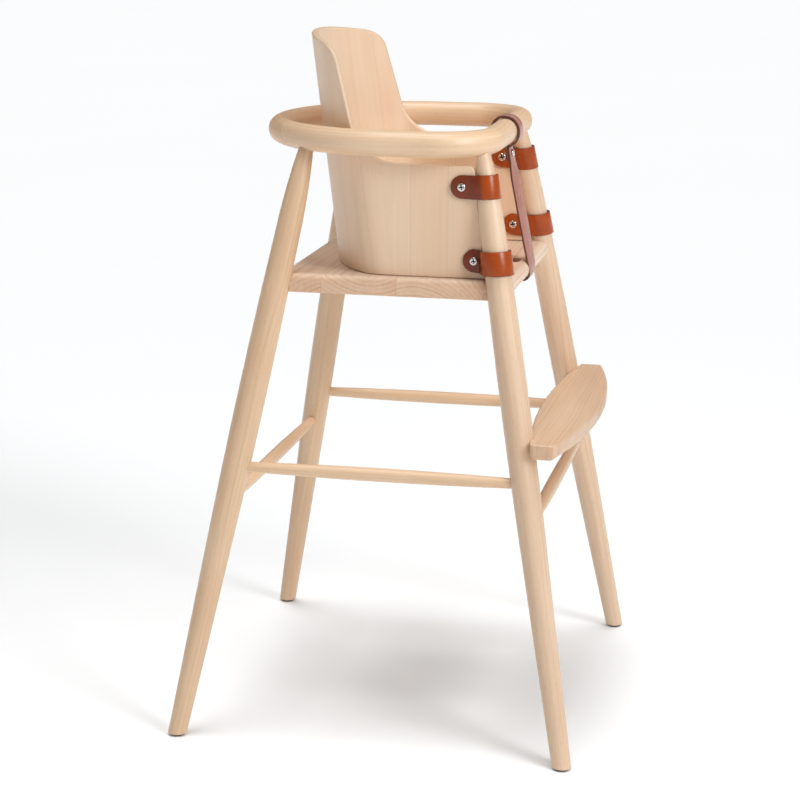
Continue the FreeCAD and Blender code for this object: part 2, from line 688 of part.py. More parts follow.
def footrest():
    """A leaf-shaped board, let in round the fronts of the two front legs."""
    rear = footrest_rear()
    body = new_body("footrest_blank")
    plan = new_sketch(body, "footrest_plan", "XY_Plane")
    rear_y = "%.9f" % rear
    front_y = "(%.9f - dims.footrest_end_width)" % rear
    length = "2 * dims.footrest_half_length"
    corners = [
        ("-dims.footrest_half_length", front_y),
        ("dims.footrest_half_length", front_y),
        ("dims.footrest_half_length", rear_y),
        ("-dims.footrest_half_length", rear_y),
    ]
    front_bow = bow_radius(length, "0", "dims.footrest_front_bow")
    rear_bow = bow_radius(length, "0", "dims.footrest_rear_bow")
    bows = {0: (front_bow, -1), 2: (rear_bow, -1)}
    outline(plan, corners, bows)
    board = pad(body, plan, "footrest_pad", "dims.footrest_thickness")
    thick = size("footrest_thickness")
    corner = fillet(body, board, "footrest_corners", "dims.footrest_corner",
                    lambda edge: edge.BoundBox.ZLength > thick - 0.01)
    under = fillet(body, corner, "footrest_under", "dims.footrest_under_round",
                   lambda edge: edge.BoundBox.ZMax < 0.01)
    fillet(body, under, "footrest_upper", "dims.footrest_top_round",
           lambda edge: edge.BoundBox.ZMin > thick - 0.01)
    body.setExpression("Placement.Base.z", "dims.footrest_top - dims.footrest_thickness")
    cutters = []
    for side in SIDES:
        cutters.append(turned_leg(side, "front", "footrest_cope_" + side, " + dims.cope_gap"))
        cutters.append(footrest_dowel(side, "footrest_bore_" + side,
                                      "dims.dowel_radius + dims.glue_gap", size("glue_gap")))
    return keep(subtract("footrest", body, cutters))


# ---- moulded shell -----------------------------------------------------------------


def shell_plan(body, name, inset):
    """The shell's outline in plan, inset from the outer face: straight sides, two round
    corners and a back on a large radius, closed across the front."""
    sketch = new_sketch(body, name, "XY_Plane")
    offset = size("shell_wall") if inset else 0.0
    half = size("shell_half_width") - offset
    corner = size("shell_corner") - offset
    rear_radius = size("shell_rear_radius") - offset
    rear_middle = size("shell_rear") - size("shell_rear_radius")
    front = -size("foot_y")
    # The corner's centre is as far from the back's centre as the two radii differ.
    corner_x = half - corner
    corner_y = rear_middle + math.sqrt((rear_radius - corner) ** 2 - corner_x ** 2)
    turn = math.atan2(corner_y - rear_middle, corner_x)
    meet = Vector(corner_x + corner * math.cos(turn), corner_y + corner * math.sin(turn), 0)
    halfway = Vector(corner_x + corner * math.cos(turn / 2), corner_y + corner * math.sin(turn / 2), 0)
    left_line = sketch.addGeometry(
        Part.LineSegment(Vector(half, front, 0), Vector(half, corner_y, 0)))
    left_corner = sketch.addGeometry(Part.Arc(Vector(half, corner_y, 0), halfway, meet))
    back = sketch.addGeometry(Part.Arc(
        meet, Vector(0, rear_middle + rear_radius, 0), Vector(-meet.x, meet.y, 0)))
    right_corner = sketch.addGeometry(Part.Arc(
        Vector(-meet.x, meet.y, 0), Vector(-halfway.x, halfway.y, 0), Vector(-half, corner_y, 0)))
    right_line = sketch.addGeometry(
        Part.LineSegment(Vector(-half, corner_y, 0), Vector(-half, front, 0)))
    front_line = sketch.addGeometry(
        Part.LineSegment(Vector(-half, front, 0), Vector(half, front, 0)))
    chain = [left_line, left_corner, back, right_corner, right_line]
    for edge, after in zip(chain, chain[1:]):
        sketch.addConstraint(Sketcher.Constraint("Tangent", edge, 2, after, 1))
    sketch.addConstraint(Sketcher.Constraint("Coincident", right_line, 2, front_line, 1))
    sketch.addConstraint(Sketcher.Constraint("Coincident", front_line, 2, left_line, 1))
    sketch.addConstraint(Sketcher.Constraint("Vertical", left_line))
    sketch.addConstraint(Sketcher.Constraint("Vertical", right_line))
    sketch.addConstraint(Sketcher.Constraint("Horizontal", front_line))
    sketch.addConstraint(Sketcher.Constraint("Equal", left_corner, right_corner))
    sketch.addConstraint(Sketcher.Constraint("PointOnObject", back, 3, -2))
    take = " - dims.shell_wall" if inset else ""
    bind(sketch, "Radius", (left_corner,), "dims.shell_corner" + take, "corner_radius")
    bind(sketch, "Radius", (back,), "dims.shell_rear_radius" + take, "rear_radius")
    bind(sketch, "DistanceY", (-1, 1, back, 3), "dims.shell_rear - dims.shell_rear_radius", "rear_middle")
    fix_point(sketch, left_line, 1, "dims.shell_half_width" + take, "-dims.foot_y", "front")
    return sketch


def rounded_outline(sketch, corners, frame_from=None):
    """A closed outline whose corners, given as (x, y, radius) expressions, may be rounded.

    A rounded corner keeps a point where its two edges would meet, and that point holds
    the corner's place.  frame_from, if given, is a rectangle round the outline, as
    numbers, so that a pocket takes away what lies outside the outline.
    """
    points = [Vector(work_out(x), work_out(y), 0) for x, y, radius in corners]
    count = len(points)
    starts, ends, bends = list(points), list(points), {}
    for number, (x, y, radius) in enumerate(corners):
        if radius is None:
            continue
        here = points[number]
        back = (points[number - 1] - here).normalize()
        ahead = (points[(number + 1) % count] - here).normalize()
        half_angle = back.getAngle(ahead) / 2
        bend = work_out(radius)
        reach = bend / math.tan(half_angle)
        toward_middle = (back + ahead).normalize()
        nearest = here + toward_middle * (bend / math.sin(half_angle) - bend)
        ends[number] = here + back * reach
        starts[number] = here + ahead * reach
        bends[number] = Part.Arc(ends[number], nearest, starts[number])
    lines = []
    for number in range(count):
        after = (number + 1) % count
        lines.append(sketch.addGeometry(Part.LineSegment(starts[number], ends[after])))
    for number, (x, y, radius) in enumerate(corners):
        before = lines[number - 1]
        name = "corner%d" % number
        if radius is None:
            sketch.addConstraint(Sketcher.Constraint("Coincident", before, 2, lines[number], 1))
            fix_point(sketch, lines[number], 1, x, y, name)
            continue
        arc = sketch.addGeometry(bends[number])
        clockwise = sketch.getPoint(arc, 1).distanceToPoint(ends[number]) > 0.001
        first, last = (2, 1) if clockwise else (1, 2)
        sketch.addConstraint(Sketcher.Constraint("Tangent", before, 2, arc, first))
        sketch.addConstraint(Sketcher.Constraint("Tangent", arc, last, lines[number], 1))
        meeting = sketch.addGeometry(Part.Point(points[number]), True)
        sketch.addConstraint(Sketcher.Constraint("PointOnObject", meeting, 1, before))
        sketch.addConstraint(Sketcher.Constraint("PointOnObject", meeting, 1, lines[number]))
        fix_point(sketch, meeting, 1, x, y, name)
        bind(sketch, "Radius", (arc,), radius, name + "_radius")
    if frame_from is None:
        return
    low, high = frame_from
    around = [low, Vector(high.x, low.y, 0), high, Vector(low.x, high.y, 0)]
    for number in range(4):
        sketch.addGeometry(Part.LineSegment(around[number], around[(number + 1) % 4]))


def seat_shell():
    """The moulded shell: one curved sheet, leaning back, trimmed to its side outline."""
    body = new_body("seat_shell_blank")
    outer = pad(body, shell_plan(body, "shell_outer", False), "shell_block",
                "dims.shell_back_height + dims.shell_crown * 4")
    lean = Vector(0, math.tan(math.radians(size("shell_lean"))), 1)
    outer.UseCustomVector = True
    outer.Direction = lean
    outer.AlongSketchNormal = True
    doc.recompute()
    inner = body.newObject("PartDesign::Pocket", "shell_hollow")
    inner.Profile = shell_plan(body, "shell_inner", True)
    inner.setExpression("Length", "dims.shell_back_height + dims.shell_crown * 5")
    inner.UseCustomVector = True
    inner.Direction = lean
    inner.AlongSketchNormal = True
    body.Tip = inner
    doc.recompute()
    side_view = new_sketch(body, "shell_side", "YZ_Plane")
    low_front, high_front = shell_front_line()
    corners = [
        ("%.9f" % low_front.x, "%.9f" % low_front.y, None),
        ("dims.foot_y", "0", None),
        ("dims.foot_y", "(dims.shell_back_height + dims.shell_crown * %s)" % shell_crown_share(), None),
        ("dims.shell_corner_y", "dims.shell_back_height", "dims.shell_top_radius"),
        ("dims.shell_flare_y", "dims.shell_arm_height", "dims.shell_flare_radius"),
        ("%.9f" % high_front.x, "dims.shell_arm_height", "dims.shell_front_radius"),
    ]
    reach = size("foot_y") * 2
    rounded_outline(side_view, corners, (Vector(-reach, -reach, 0), Vector(reach, reach, 0)))
    trimmed = pocket_through(body, side_view, "shell_trim")
    fillet(body, trimmed, "shell_easing", "dims.shell_edge_round", along_trim)
    body.setExpression("Placement.Base.z", "dims.seat_top + dims.glue_gap")
    cutters = []
    for side in SIDES:
        cutters.append(turned_leg(side, "front", "shell_cope_" + side, " + dims.soft_gap"))
        for level in ("upper", "lower"):
            name = "shell_hole_%s_%s" % (level, side)
            cutters.append(screw_line_peg(side, level, name,
                                          "dims.screw_barrel_radius + dims.fit_gap", 30))
    return keep(subtract("seat_shell", body, cutters))


def along_trim(edge):
    """True for the shell's trimmed edges, which run round its front, its top and its back.

    The bottom edges stay square, and so do those across the sheet's thickness.
    """
    if edge.BoundBox.ZMax < 0.01:
        return False
    start, end = edge.Vertexes[0].Point, edge.Vertexes[-1].Point
    lean = Vector(0, math.tan(math.radians(size("shell_lean"))), 1).normalize()
    chord = end - start
    across = Vector(0, chord.y, chord.z).Length < 1
    seam = chord.Length > 1 and abs(chord.normalize().dot(lean)) > 0.9999
    return not across and not seam


def shell_crown_share():
    """How much of the crown's rise is reached at the outline's rear end, as text."""
    lean = math.tan(math.radians(size("shell_lean")))
    rear_at_top = size("shell_rear") + lean * size("shell_back_height")
    return "((dims.foot_y - dims.shell_corner_y) / %.9f)" % (rear_at_top - size("shell_corner_y"))


def shell_front_line():
    """The shell's front edge in side view, along the back of the front leg."""
    points = []
    for height in (0.0, size("shell_arm_height")):
        level = size("seat_top") + height
        back_of_leg = leg_point("left", "front", level).y + leg_radius("left", "front", level)
        points.append(Vector(back_of_leg, height, 0))
    return points


# ---- straps on the front legs ------------------------------------------------------


def screw_place(side, level):
    """Where a strap's screw crosses the middle of the shell's wall."""
    wall_middle = size("shell_half_width") - size("shell_wall") / 2
    return Vector(SIDES[side] * wall_middle, -size(level + "_screw_y"), size(level + "_screw_z"))


def screw_line_peg(side, level, name, radius, half_length):
    middle = screw_place(side, level)
    reach = Vector(half_length, 0, 0)
    return peg(name, radius, middle - reach, middle + reach)


def touch_direction(place, centre, radius, turn):
    """From a circle's centre to where a line from place touches it, of length one.

    turn is +1 or -1 for the two points where such a line can touch.
    """
    away = place - centre
    angle = math.atan2(away.y, away.x) + turn * math.acos(radius / away.Length)
    return Vector(math.cos(angle), math.sin(angle), 0)


def strap_section(side, level, height):
    """A strap's level section: two tails on the shell's wall and a loop round the leg."""
    mirror = SIDES[side]
    axis = leg_point("left", "front", height)
    centre = Vector(axis.x, axis.y, height)
    gap = size("soft_gap")
    radius = leg_radius("left", "front", height) * 1.03 + size("strap_leg_gap")
    tail_y = -size(level + "_screw_y") + size("strap_tail")
    bend_y = -size(level + "_screw_y") - size("screw_head_radius") - size("strap_bend")
    outer_face = size("shell_half_width") + gap
    inner_face = size("shell_half_width") - size("shell_wall") - gap
    outer_bend = Vector(outer_face, bend_y, height)
    inner_bend = Vector(inner_face, bend_y, height)
    # Where the leg stands outside the shell, the inner layer stays on the wall to its edge.
    low_front, high_front = shell_front_line()
    share = (height - size("seat_top")) / size("shell_arm_height")
    wall_edge = Vector(inner_face, low_front.x + (high_front.x - low_front.x) * share - gap, height)
    if wall_edge.distanceToPoint(centre) > radius + 1:
        inner_bend = wall_edge
    outer_touch = touch_direction(outer_bend, centre, radius, -1)
    inner_touch = touch_direction(inner_bend, centre, radius, 1)
    outward = Vector(1, 0, 0)

    def layer(thick):
        """The section's line at a distance from the face that lies on wood."""

        def moved(bend, tail_way, run_way):
            return bend + (tail_way + run_way) * (thick / (1 + tail_way.dot(run_way)))

        return [
            Vector(outer_face + thick, tail_y, height),
            moved(outer_bend, outward, outer_touch),
            centre + outer_touch * (radius + thick),
            centre + Vector(0, -radius - thick, 0),
            centre + inner_touch * (radius + thick),
            moved(inner_bend, outward * -1, inner_touch),
            Vector(inner_face - thick, tail_y, height)]

    rings = [layer(0.0), layer(size("strap_thickness"))]
    inside, outside = [
        [Vector(point.x * mirror, point.y, point.z) for point in ring] for ring in rings]

    def layer_edges(ring):
        tail, bend, touch, front, far_touch, far_bend, far_tail = ring
        return [
            Part.makeLine(tail, bend), Part.makeLine(bend, touch),
            Part.Arc(touch, front, far_touch).toShape(),
            Part.makeLine(far_touch, far_bend), Part.makeLine(far_bend, far_tail)]

    edges = layer_edges(inside) + layer_edges(outside)
    edges.append(Part.makeLine(inside[0], outside[0]))
    edges.append(Part.makeLine(inside[-1], outside[-1]))
    return Part.Wire(Part.__sortEdges__(edges))


def leg_strap(side, level):
    """A leather strap: its loop follows the leg's slope and its tails lie on the wall."""
    middle = size(level + "_screw_z")
    half = size("strap_height") / 2
    low = strap_section(side, level, middle - half)
    high = strap_section(side, level, middle + half)
    band = Part.makeLoft([low, high], True, True)
    # The tails' ends are round: what lies past the screw is kept only inside a disc.
    reach = size("foot_x")
    screw_y = -size(level + "_screw_y")
    disc_middle = screw_y + size("strap_tail") - half
    disc = Part.makeCylinder(half, reach, Vector(0, disc_middle, middle), Vector(SIDES[side], 0, 0))
    block = Part.makeBox(reach, reach, 2 * half + 2)
    block.translate(Vector(0 if SIDES[side] > 0 else -reach, disc_middle - reach, middle - half - 1))
    band = band.common(disc.fuse(block))
    hole_radius = size("screw_barrel_radius") + size("soft_gap")
    hole = Part.makeCylinder(hole_radius, reach, Vector(0, screw_y, middle), Vector(SIDES[side], 0, 0))
    return keep(add_feature("strap_%s_%s" % (side, level), band.cut(hole).Solids[0]))


# ---- connector screws and sleeve nuts ----------------------------------------------


def cross_slot(name, face, inward):
    """A cross-shaped recess that a driver fits, sunk into a screw head's face."""
    arms = []
    length, width, depth = size("cross_length"), size("cross_width"), size("cross_depth")
    for number in range(2):
        arm = doc.addObject("Part::Box", "%s_arm%d" % (name, number))
        arm.Length = length
        arm.Width = width
        arm.Height = depth * 2
        corner = Vector(-length / 2, -width / 2, -depth)
        turn = Rotation(Vector(0, 0, 1), number * 90 + size("cross_turn"))
        stand = Placement(face, Rotation(Vector(0, 0, 1), inward) * turn)
        arm.Placement = stand * Placement(corner, Rotation())
        arms.append(arm)
    return arms


def screw_head(name, base, outward):
    """A low domed head standing on base, its axis outward."""
    body = new_body(name)
    plan = new_sketch(body, name + "_plan", "XY_Plane")
    circle = plan.addGeometry(
        Part.Circle(Vector(0, 0, 0), Vector(0, 0, 1), size("screw_head_radius")))
    plan.addConstraint(Sketcher.Constraint("Coincident", circle, 3, -1, 1))
    bind(plan, "Radius", (circle,), "dims.screw_head_radius", "radius")
    disc = pad(body, plan, name + "_pad", "dims.screw_head_height")
    height = size("screw_head_height")
    fillet(body, disc, name + "_dome", "dims.screw_head_height * 0.7",
           lambda edge: edge.Closed and edge.BoundBox.ZMin > height - 0.01)
    body.Placement = along(base, base + outward)
    return body


def connector(side, level):
    """A cross-slot screw from outside and its sleeve nut from inside, through the
    outer tail, the shell's wall and the inner tail."""
    outward = Vector(SIDES[side], 0, 0)
    middle = screw_place(side, level)
    stack = size("shell_wall") / 2 + 2 * size("soft_gap") + size("strap_thickness")
    pieces = []
    for kind, way in (("screw", 1), ("nut", -1)):
        label = "%s_%s_%s" % (kind, side, level)
        face = outward * way
        seat = middle + face * stack
        head = screw_head(label + "_head", seat, face)
        top = seat + face * size("screw_head_height")
        cutters = cross_slot(label + "_slot", top, face * -1)
        whole = doc.addObject("Part::Fuse", label + "_whole")
        whole.Base = head
        if kind == "screw":
            shank_end = seat - face * (2 * stack - size("screw_tip_room"))
            whole.Tool = peg(label + "_shank", "dims.screw_shank_radius", seat, shank_end)
        else:
            barrel_end = seat - face * (2 * stack - size("fit_gap") * 2)
            whole.Tool = peg(label + "_barrel", "dims.screw_barrel_radius", seat, barrel_end)
            bore = peg(label + "_bore", "dims.screw_shank_radius + dims.fit_gap",
                       seat - face * size("nut_bore_start"), barrel_end - face)
            cutters.append(bore)
        pieces.append(keep(subtract(label, whole, cutters)))
    return pieces


# ---- strap from the ring to the seat -----------------------------------------------


def fillet_path(points, radii):
    """Straight runs joined by tangent arcs: a list of ('line', a, b) and
    ('arc', a, middle, b, centre) pieces through points in the YZ plane."""
    pieces = []
    last = points[0]
    for number in range(1, len(points) - 1):
        here = points[number]
        back = (points[number - 1] - here).normalize()
        ahead = (points[number + 1] - here).normalize()
        half_angle = back.getAngle(ahead) / 2
        reach = radii[number - 1] / math.tan(half_angle)
        centre = here + (back + ahead).normalize() * (radii[number - 1] / math.sin(half_angle))
        first = here + back * reach
        second = here + ahead * reach
        middle = centre + (here - centre).normalize() * radii[number - 1]
        pieces.append(("line", last, first))
        pieces.append(("arc", first, middle, second, centre))
        last = second
    pieces.append(("line", last, points[-1]))
    return pieces


def ribbon(points, radii, thickness, width):
    """A flat band of even thickness that follows a path in the YZ plane."""
    edges = []
    sides = {-1: [], 1: []}
    across = Vector(1, 0, 0)
    for piece in fillet_path(points, radii):
        for side in sides:
            if piece[0] == "line":
                start, end = piece[1], piece[2]
                shift = (end - start).cross(across).normalize() * side * thickness / 2
                edge = Part.makeLine(start + shift, end + shift)
            else:
                start, middle, end, centre = piece[1:]
                turn = (middle - start).cross(end - middle).x
                grow = side * thickness / 2 * (1 if turn > 0 else -1)
                stretch = lambda point: point + (point - centre).normalize() * grow
                edge = Part.Arc(stretch(start), stretch(middle), stretch(end)).toShape()
            sides[side].append(edge)
            edges.append(edge)
    for place in (0, -1):
        ends = [sides[side][place].Vertexes[place].Point for side in sides]
        edges.append(Part.makeLine(*ends))
    face = Part.Face(Part.Wire(Part.__sortEdges__(edges)))
    face.translate(Vector(-width / 2, 0, 0))
    return face.extrude(Vector(width, 0, 0))


def crotch_run():
    """The ends of the strap's long straight run in front, and the way up along it."""
    half_width, rear, front = seat_edges()
    off = size("strap_thickness") / 2
    low = Vector(0, front - off - size("crotch_nose_gap"), size("seat_top"))
    top_z = size("ring_height") - size("ring_rod_radius") - size("stud_drop") / 3
    high = Vector(0, -size("ring_front") - size("crotch_run_top"), top_z)
    return low, high, (high - low).normalize()


def layer_shift():
    """From the strap's front layer to the layer that lies behind it, at the stud."""
    low, high, upward = crotch_run()
    backward = Vector(0, upward.z, -upward.y)
    return backward * (size("strap_thickness") + size("soft_gap"))


def crotch_route():
    """The strap's middle line: from its end on the seat down through the slot, under
    and round the seat's nose, up to the ring, once round it and back down to the stud."""
    half_width, rear, front = seat_edges()
    off = size("soft_gap") + size("strap_thickness") / 2
    seat_top = size("seat_top")
    seat_bottom = seat_top - size("seat_thickness")
    slot_rear = front + size("nose_depth") + size("slot_depth")
    in_slot = slot_rear - off - size("soft_gap")
    low, high, upward = crotch_run()
    ring_y = -size("ring_front")
    ring_z = size("ring_height")
    around = size("ring_rod_radius") + off + size("crotch_slack")
    back = layer_shift()
    bend = size("strap_thickness") * 1.7
    under, nose = size("crotch_under_bend"), size("crotch_front_bend")
    points = [
        Vector(0, slot_rear + size("crotch_tail"), seat_top + off),
        Vector(0, in_slot, seat_top + off),
        Vector(0, in_slot, seat_bottom - off - size("crotch_sag")),
        Vector(0, low.y - size("crotch_nose_inset"), seat_bottom - off),
        low,
        high,
        Vector(0, ring_y - around, ring_z - around * 0.6),
        Vector(0, ring_y - around, ring_z + around),
        Vector(0, ring_y + around, ring_z + around),
        Vector(0, ring_y + around, ring_z - around * 0.6),
        high + back,
        high + back - upward * (size("stud_drop") * 2 / 3 + size("crotch_overlap")),
    ]
    radii = [bend, bend, under, nose, bend, around, around * 0.97, around * 0.97, around, bend]
    return points, radii


def stud_line():
    """The stud's middle between the strap's two layers, and the way to the back."""
    low, high, upward = crotch_run()
    back = layer_shift()
    middle = high - upward * (size("stud_drop") * 2 / 3) + back / 2
    return middle, Vector(back).normalize()


def crotch_strap():
    points, radii = crotch_route()
    band = ribbon(points, radii, size("strap_thickness"), size("crotch_width"))
    hole_radius = size("screw_shank_radius") + size("soft_gap")
    through = 3 * size("strap_thickness")
    middle, backward = stud_line()
    stud_hole = Part.makeCylinder(hole_radius, 2 * through, middle - backward * through, backward)
    screw = tail_screw_middle()
    upward = Vector(0, 0, 1)
    tail_hole = Part.makeCylinder(hole_radius, 2 * through, screw - upward * through, upward)
    return keep(add_feature("crotch_strap", band.cut([stud_hole, tail_hole]).Solids[0]))


def stud():
    """The strap's stud: a cap with a post from the front and a cap from behind."""
    middle, backward = stud_line()
    cap_height = size("stud_cap_height")
    half_stack = size("strap_thickness") + size("soft_gap") * 1.5
    pieces = []
    for label, way in (("strap_stud_post", -1), ("strap_stud_cap", 1)):
        outward = backward * way
        base = middle + outward * half_stack
        cap = Part.makeCylinder(size("stud_cap_radius"), cap_height, base, outward)
        rim = [edge for edge in cap.Edges
               if edge.Closed and (edge.CenterOfMass - middle).Length > half_stack + 1]
        cap = cap.makeFillet(cap_height * 0.75, rim)
        if way < 0:
            reach = half_stack * 2 + cap_height / 2
            cap = cap.fuse(Part.makeCylinder(size("screw_shank_radius"), reach, base, backward))
        else:
            bore_radius = size("screw_shank_radius") + size("fit_gap")
            bore = Part.makeCylinder(bore_radius, cap_height / 2 + 0.2, base - outward * 0.1, outward)
            cap = cap.cut(bore)
        pieces.append(keep(add_feature(label, cap.Solids[0])))
    return pieces


# ---- screw that holds the strap's end on the seat ----------------------------------


def tail_screw_middle():
    half_width, rear, front = seat_edges()
    slot_rear = front + size("nose_depth") + size("slot_depth")
    return Vector(0, slot_rear + size("crotch_tail") - size("tail_screw_inset"), size("seat_top"))


def tail_screw_shank(name, radius):
    middle = tail_screw_middle()
    depth = Vector(0, 0, size("tail_hole_depth"))
    return peg(name, radius, middle - depth, middle + Vector(0, 0, size("strap_thickness")))


def tail_screw():
    middle = tail_screw_middle()
    base = middle + Vector(0, 0, size("strap_thickness") + 2 * size("soft_gap"))
    head = screw_head("tail_screw_head", base, Vector(0, 0, 1))
    whole = doc.addObject("Part::Fuse", "tail_screw_whole")
    whole.Base = head
    tip = base - Vector(0, 0, size("tail_screw_length"))
    whole.Tool = peg("tail_screw_body", "dims.screw_shank_radius", tip, base)
    top = base + Vector(0, 0, size("screw_head_height"))
    return keep(subtract("tail_screw", whole, cross_slot("tail_screw_slot", top, Vector(0, 0, -1))))


# ---- the chair, piece by piece -----------------------------------------------------


def build():
    arm_ring()
    for end in ENDS:
        for side in SIDES:
            holes = [stretcher_hole(side, 0 if end == "front" else 1),
                     stretcher_hole(end, 0 if side == "right" else 1)]
            leg(side, end, holes)
            glide(side, end)
            dowel = seat_dowel(side, end, "seat_dowel_%s_%s" % (end, side), "dims.dowel_radius", 0)
            dowel.Label = dowel.Name
            keep(dowel)
    for name in ("right", "left", "front", "rear"):
        stretcher(name)
    seat_board()
    footrest()
    for side in SIDES:
        dowel = footrest_dowel(side, "footrest_dowel_" + side, "dims.dowel_radius", 0)
        dowel.Label = dowel.Name
        keep(dowel)
    seat_shell()
    for side in SIDES:
        for level in ("upper", "lower"):
            leg_strap(side, level)
            connector(side, level)
    crotch_strap()
    stud()
    tail_screw()


def check_and_write():
    """Stops if anything failed, then writes each sub-part to its own file."""
    doc.recompute()
    for item in doc.Objects:
        if "Invalid" in item.State or "Error" in item.State:
            raise RuntimeError("%s could not be built: %s" % (item.Name, item.State))
    for item in nodes:
        shape = item.Shape
        if shape.isNull() or not shape.isValid() or not shape.Solids:
            raise RuntimeError("%s has no valid solid" % item.Label)
    os.makedirs("parts", exist_ok=True)
    for item in nodes:
        item.Shape.exportStep("parts/%s.step" % item.Label)
        print("%-26s %d solid(s) %10.1f mm3" % (item.Label, len(item.Shape.Solids), item.Shape.Volume))


build()
check_and_write()
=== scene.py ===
"""A child's high chair: four turned beech legs, a bent arm rail, a board seat, a moulded
plywood shell strapped to the front legs, a leaf-shaped footrest and a leather strap."""

import math

import bmesh
import bpy
import numpy as np
from mathutils import Matrix, Quaternion, Vector


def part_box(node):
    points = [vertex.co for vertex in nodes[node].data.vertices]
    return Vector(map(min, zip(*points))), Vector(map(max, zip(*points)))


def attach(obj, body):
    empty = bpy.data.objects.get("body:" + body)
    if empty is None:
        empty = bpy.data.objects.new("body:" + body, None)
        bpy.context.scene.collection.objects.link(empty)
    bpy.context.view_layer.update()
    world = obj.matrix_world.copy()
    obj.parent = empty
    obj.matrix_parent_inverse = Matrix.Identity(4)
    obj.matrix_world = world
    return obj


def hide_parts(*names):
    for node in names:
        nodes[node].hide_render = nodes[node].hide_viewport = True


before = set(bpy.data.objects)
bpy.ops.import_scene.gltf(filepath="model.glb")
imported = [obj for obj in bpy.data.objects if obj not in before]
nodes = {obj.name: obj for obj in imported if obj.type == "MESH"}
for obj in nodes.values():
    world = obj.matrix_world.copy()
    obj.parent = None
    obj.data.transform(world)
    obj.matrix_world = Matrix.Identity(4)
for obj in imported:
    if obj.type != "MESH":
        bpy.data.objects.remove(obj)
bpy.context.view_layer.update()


# ---- the view ----------------------------------------------------------------------
# The chair is seen from its right side and a little from the front, from about a metre
# above the floor, through a long lens.

eye = Vector((-2.527, -0.542, 1.005))
bearing = math.radians(77.57)
downward = math.radians(13.95)
head_tilt = math.radians(0.19)
sight = Vector((math.cos(downward) * math.sin(bearing), math.cos(downward) * math.cos(bearing),
                -math.sin(downward)))
camera = bpy.data.objects.new("camera", bpy.data.cameras.new("camera"))
camera.data.sensor_width = 36
camera.data.lens = 96.84
camera.data.clip_end = 200
camera.rotation_mode = "QUATERNION"
camera.location = eye
camera.rotation_quaternion = (sight.to_track_quat("-Z", "Y") @ Quaternion((0, 0, 1), head_tilt))
bpy.context.scene.collection.objects.link(camera)
bpy.context.scene.camera = camera
bpy.context.scene.view_settings.view_transform = "Standard"


# ---- legs --------------------------------------------------------------------------
# Four beech legs, each turned from one square and lacquered satin clear. The grain runs
# along each leg's own axis; the belly cuts through the growth rings in long soft flames.


def put(tree, kind, feeds=None, **settings):
    """A node with its settings; feeds gives inputs a value or another node's output."""
    node = tree.nodes.new(kind)
    for key, value in settings.items():
        setattr(node, key, value)
    for key, value in (feeds or {}).items():
        if isinstance(value, bpy.types.NodeSocket):
            tree.links.new(value, node.inputs[key])
        else:
            node.inputs[key].default_value = value
    return node


def maths(tree, operation, *values, **settings):
    return put(tree, "ShaderNodeMath", dict(enumerate(values)), operation=operation,
               **settings).outputs[0]


def times(tree, first, second):
    return maths(tree, "MULTIPLY", first, second)


def plus(tree, first, second, **settings):
    return maths(tree, "ADD", first, second, **settings)


def minus(tree, first, second):
    return maths(tree, "SUBTRACT", first, second)


def vectors(tree, operation, *values):
    node = put(tree, "ShaderNodeVectorMath", dict(enumerate(values)), operation=operation)
    return node.outputs["Value" if operation in ("LENGTH", "DOT_PRODUCT") else "Vector"]


def stretched(tree, place, across, along):
    """The place scaled so that a round blot becomes a streak along the grain."""
    return vectors(tree, "MULTIPLY", place, (across, across, along))


def blots(tree, place, detail=2.0, rough=0.5):
    """Soft noise from 0 to 1."""
    noise = put(tree, "ShaderNodeTexNoise",
                {"Vector": place, "Scale": 1.0, "Detail": detail, "Roughness": rough})
    return noise.outputs["Fac"]


def between(tree, value, low, high):
    """0 at low and 1 at high, smooth between and level beyond; low may be the larger."""
    node = put(tree, "ShaderNodeMapRange", {"Value": value, "From Min": low, "From Max": high},
               interpolation_type="SMOOTHSTEP")
    return node.outputs["Result"]


def blend(tree, share, first, second, mode="MIX"):
    node = put(tree, "ShaderNodeMix", {0: share, 6: first, 7: second}, data_type="RGBA",
               blend_type=mode)
    return node.outputs[2]


def new_group(name, tree_kind, inputs, outputs):
    """An empty node group: its tree, what it is given and what it gives back."""
    tree = bpy.data.node_groups.new(name, tree_kind)
    for title, kind, value in inputs:
        socket = tree.interface.new_socket(title, in_out="INPUT", socket_type="NodeSocket" + kind)
        if value is not None:
            socket.default_value = value
    for title, kind in outputs:
        tree.interface.new_socket(title, in_out="OUTPUT", socket_type="NodeSocket" + kind)
    given = tree.nodes.new("NodeGroupInput")
    result = tree.nodes.new("NodeGroupOutput")
    return tree, given.outputs, result.inputs


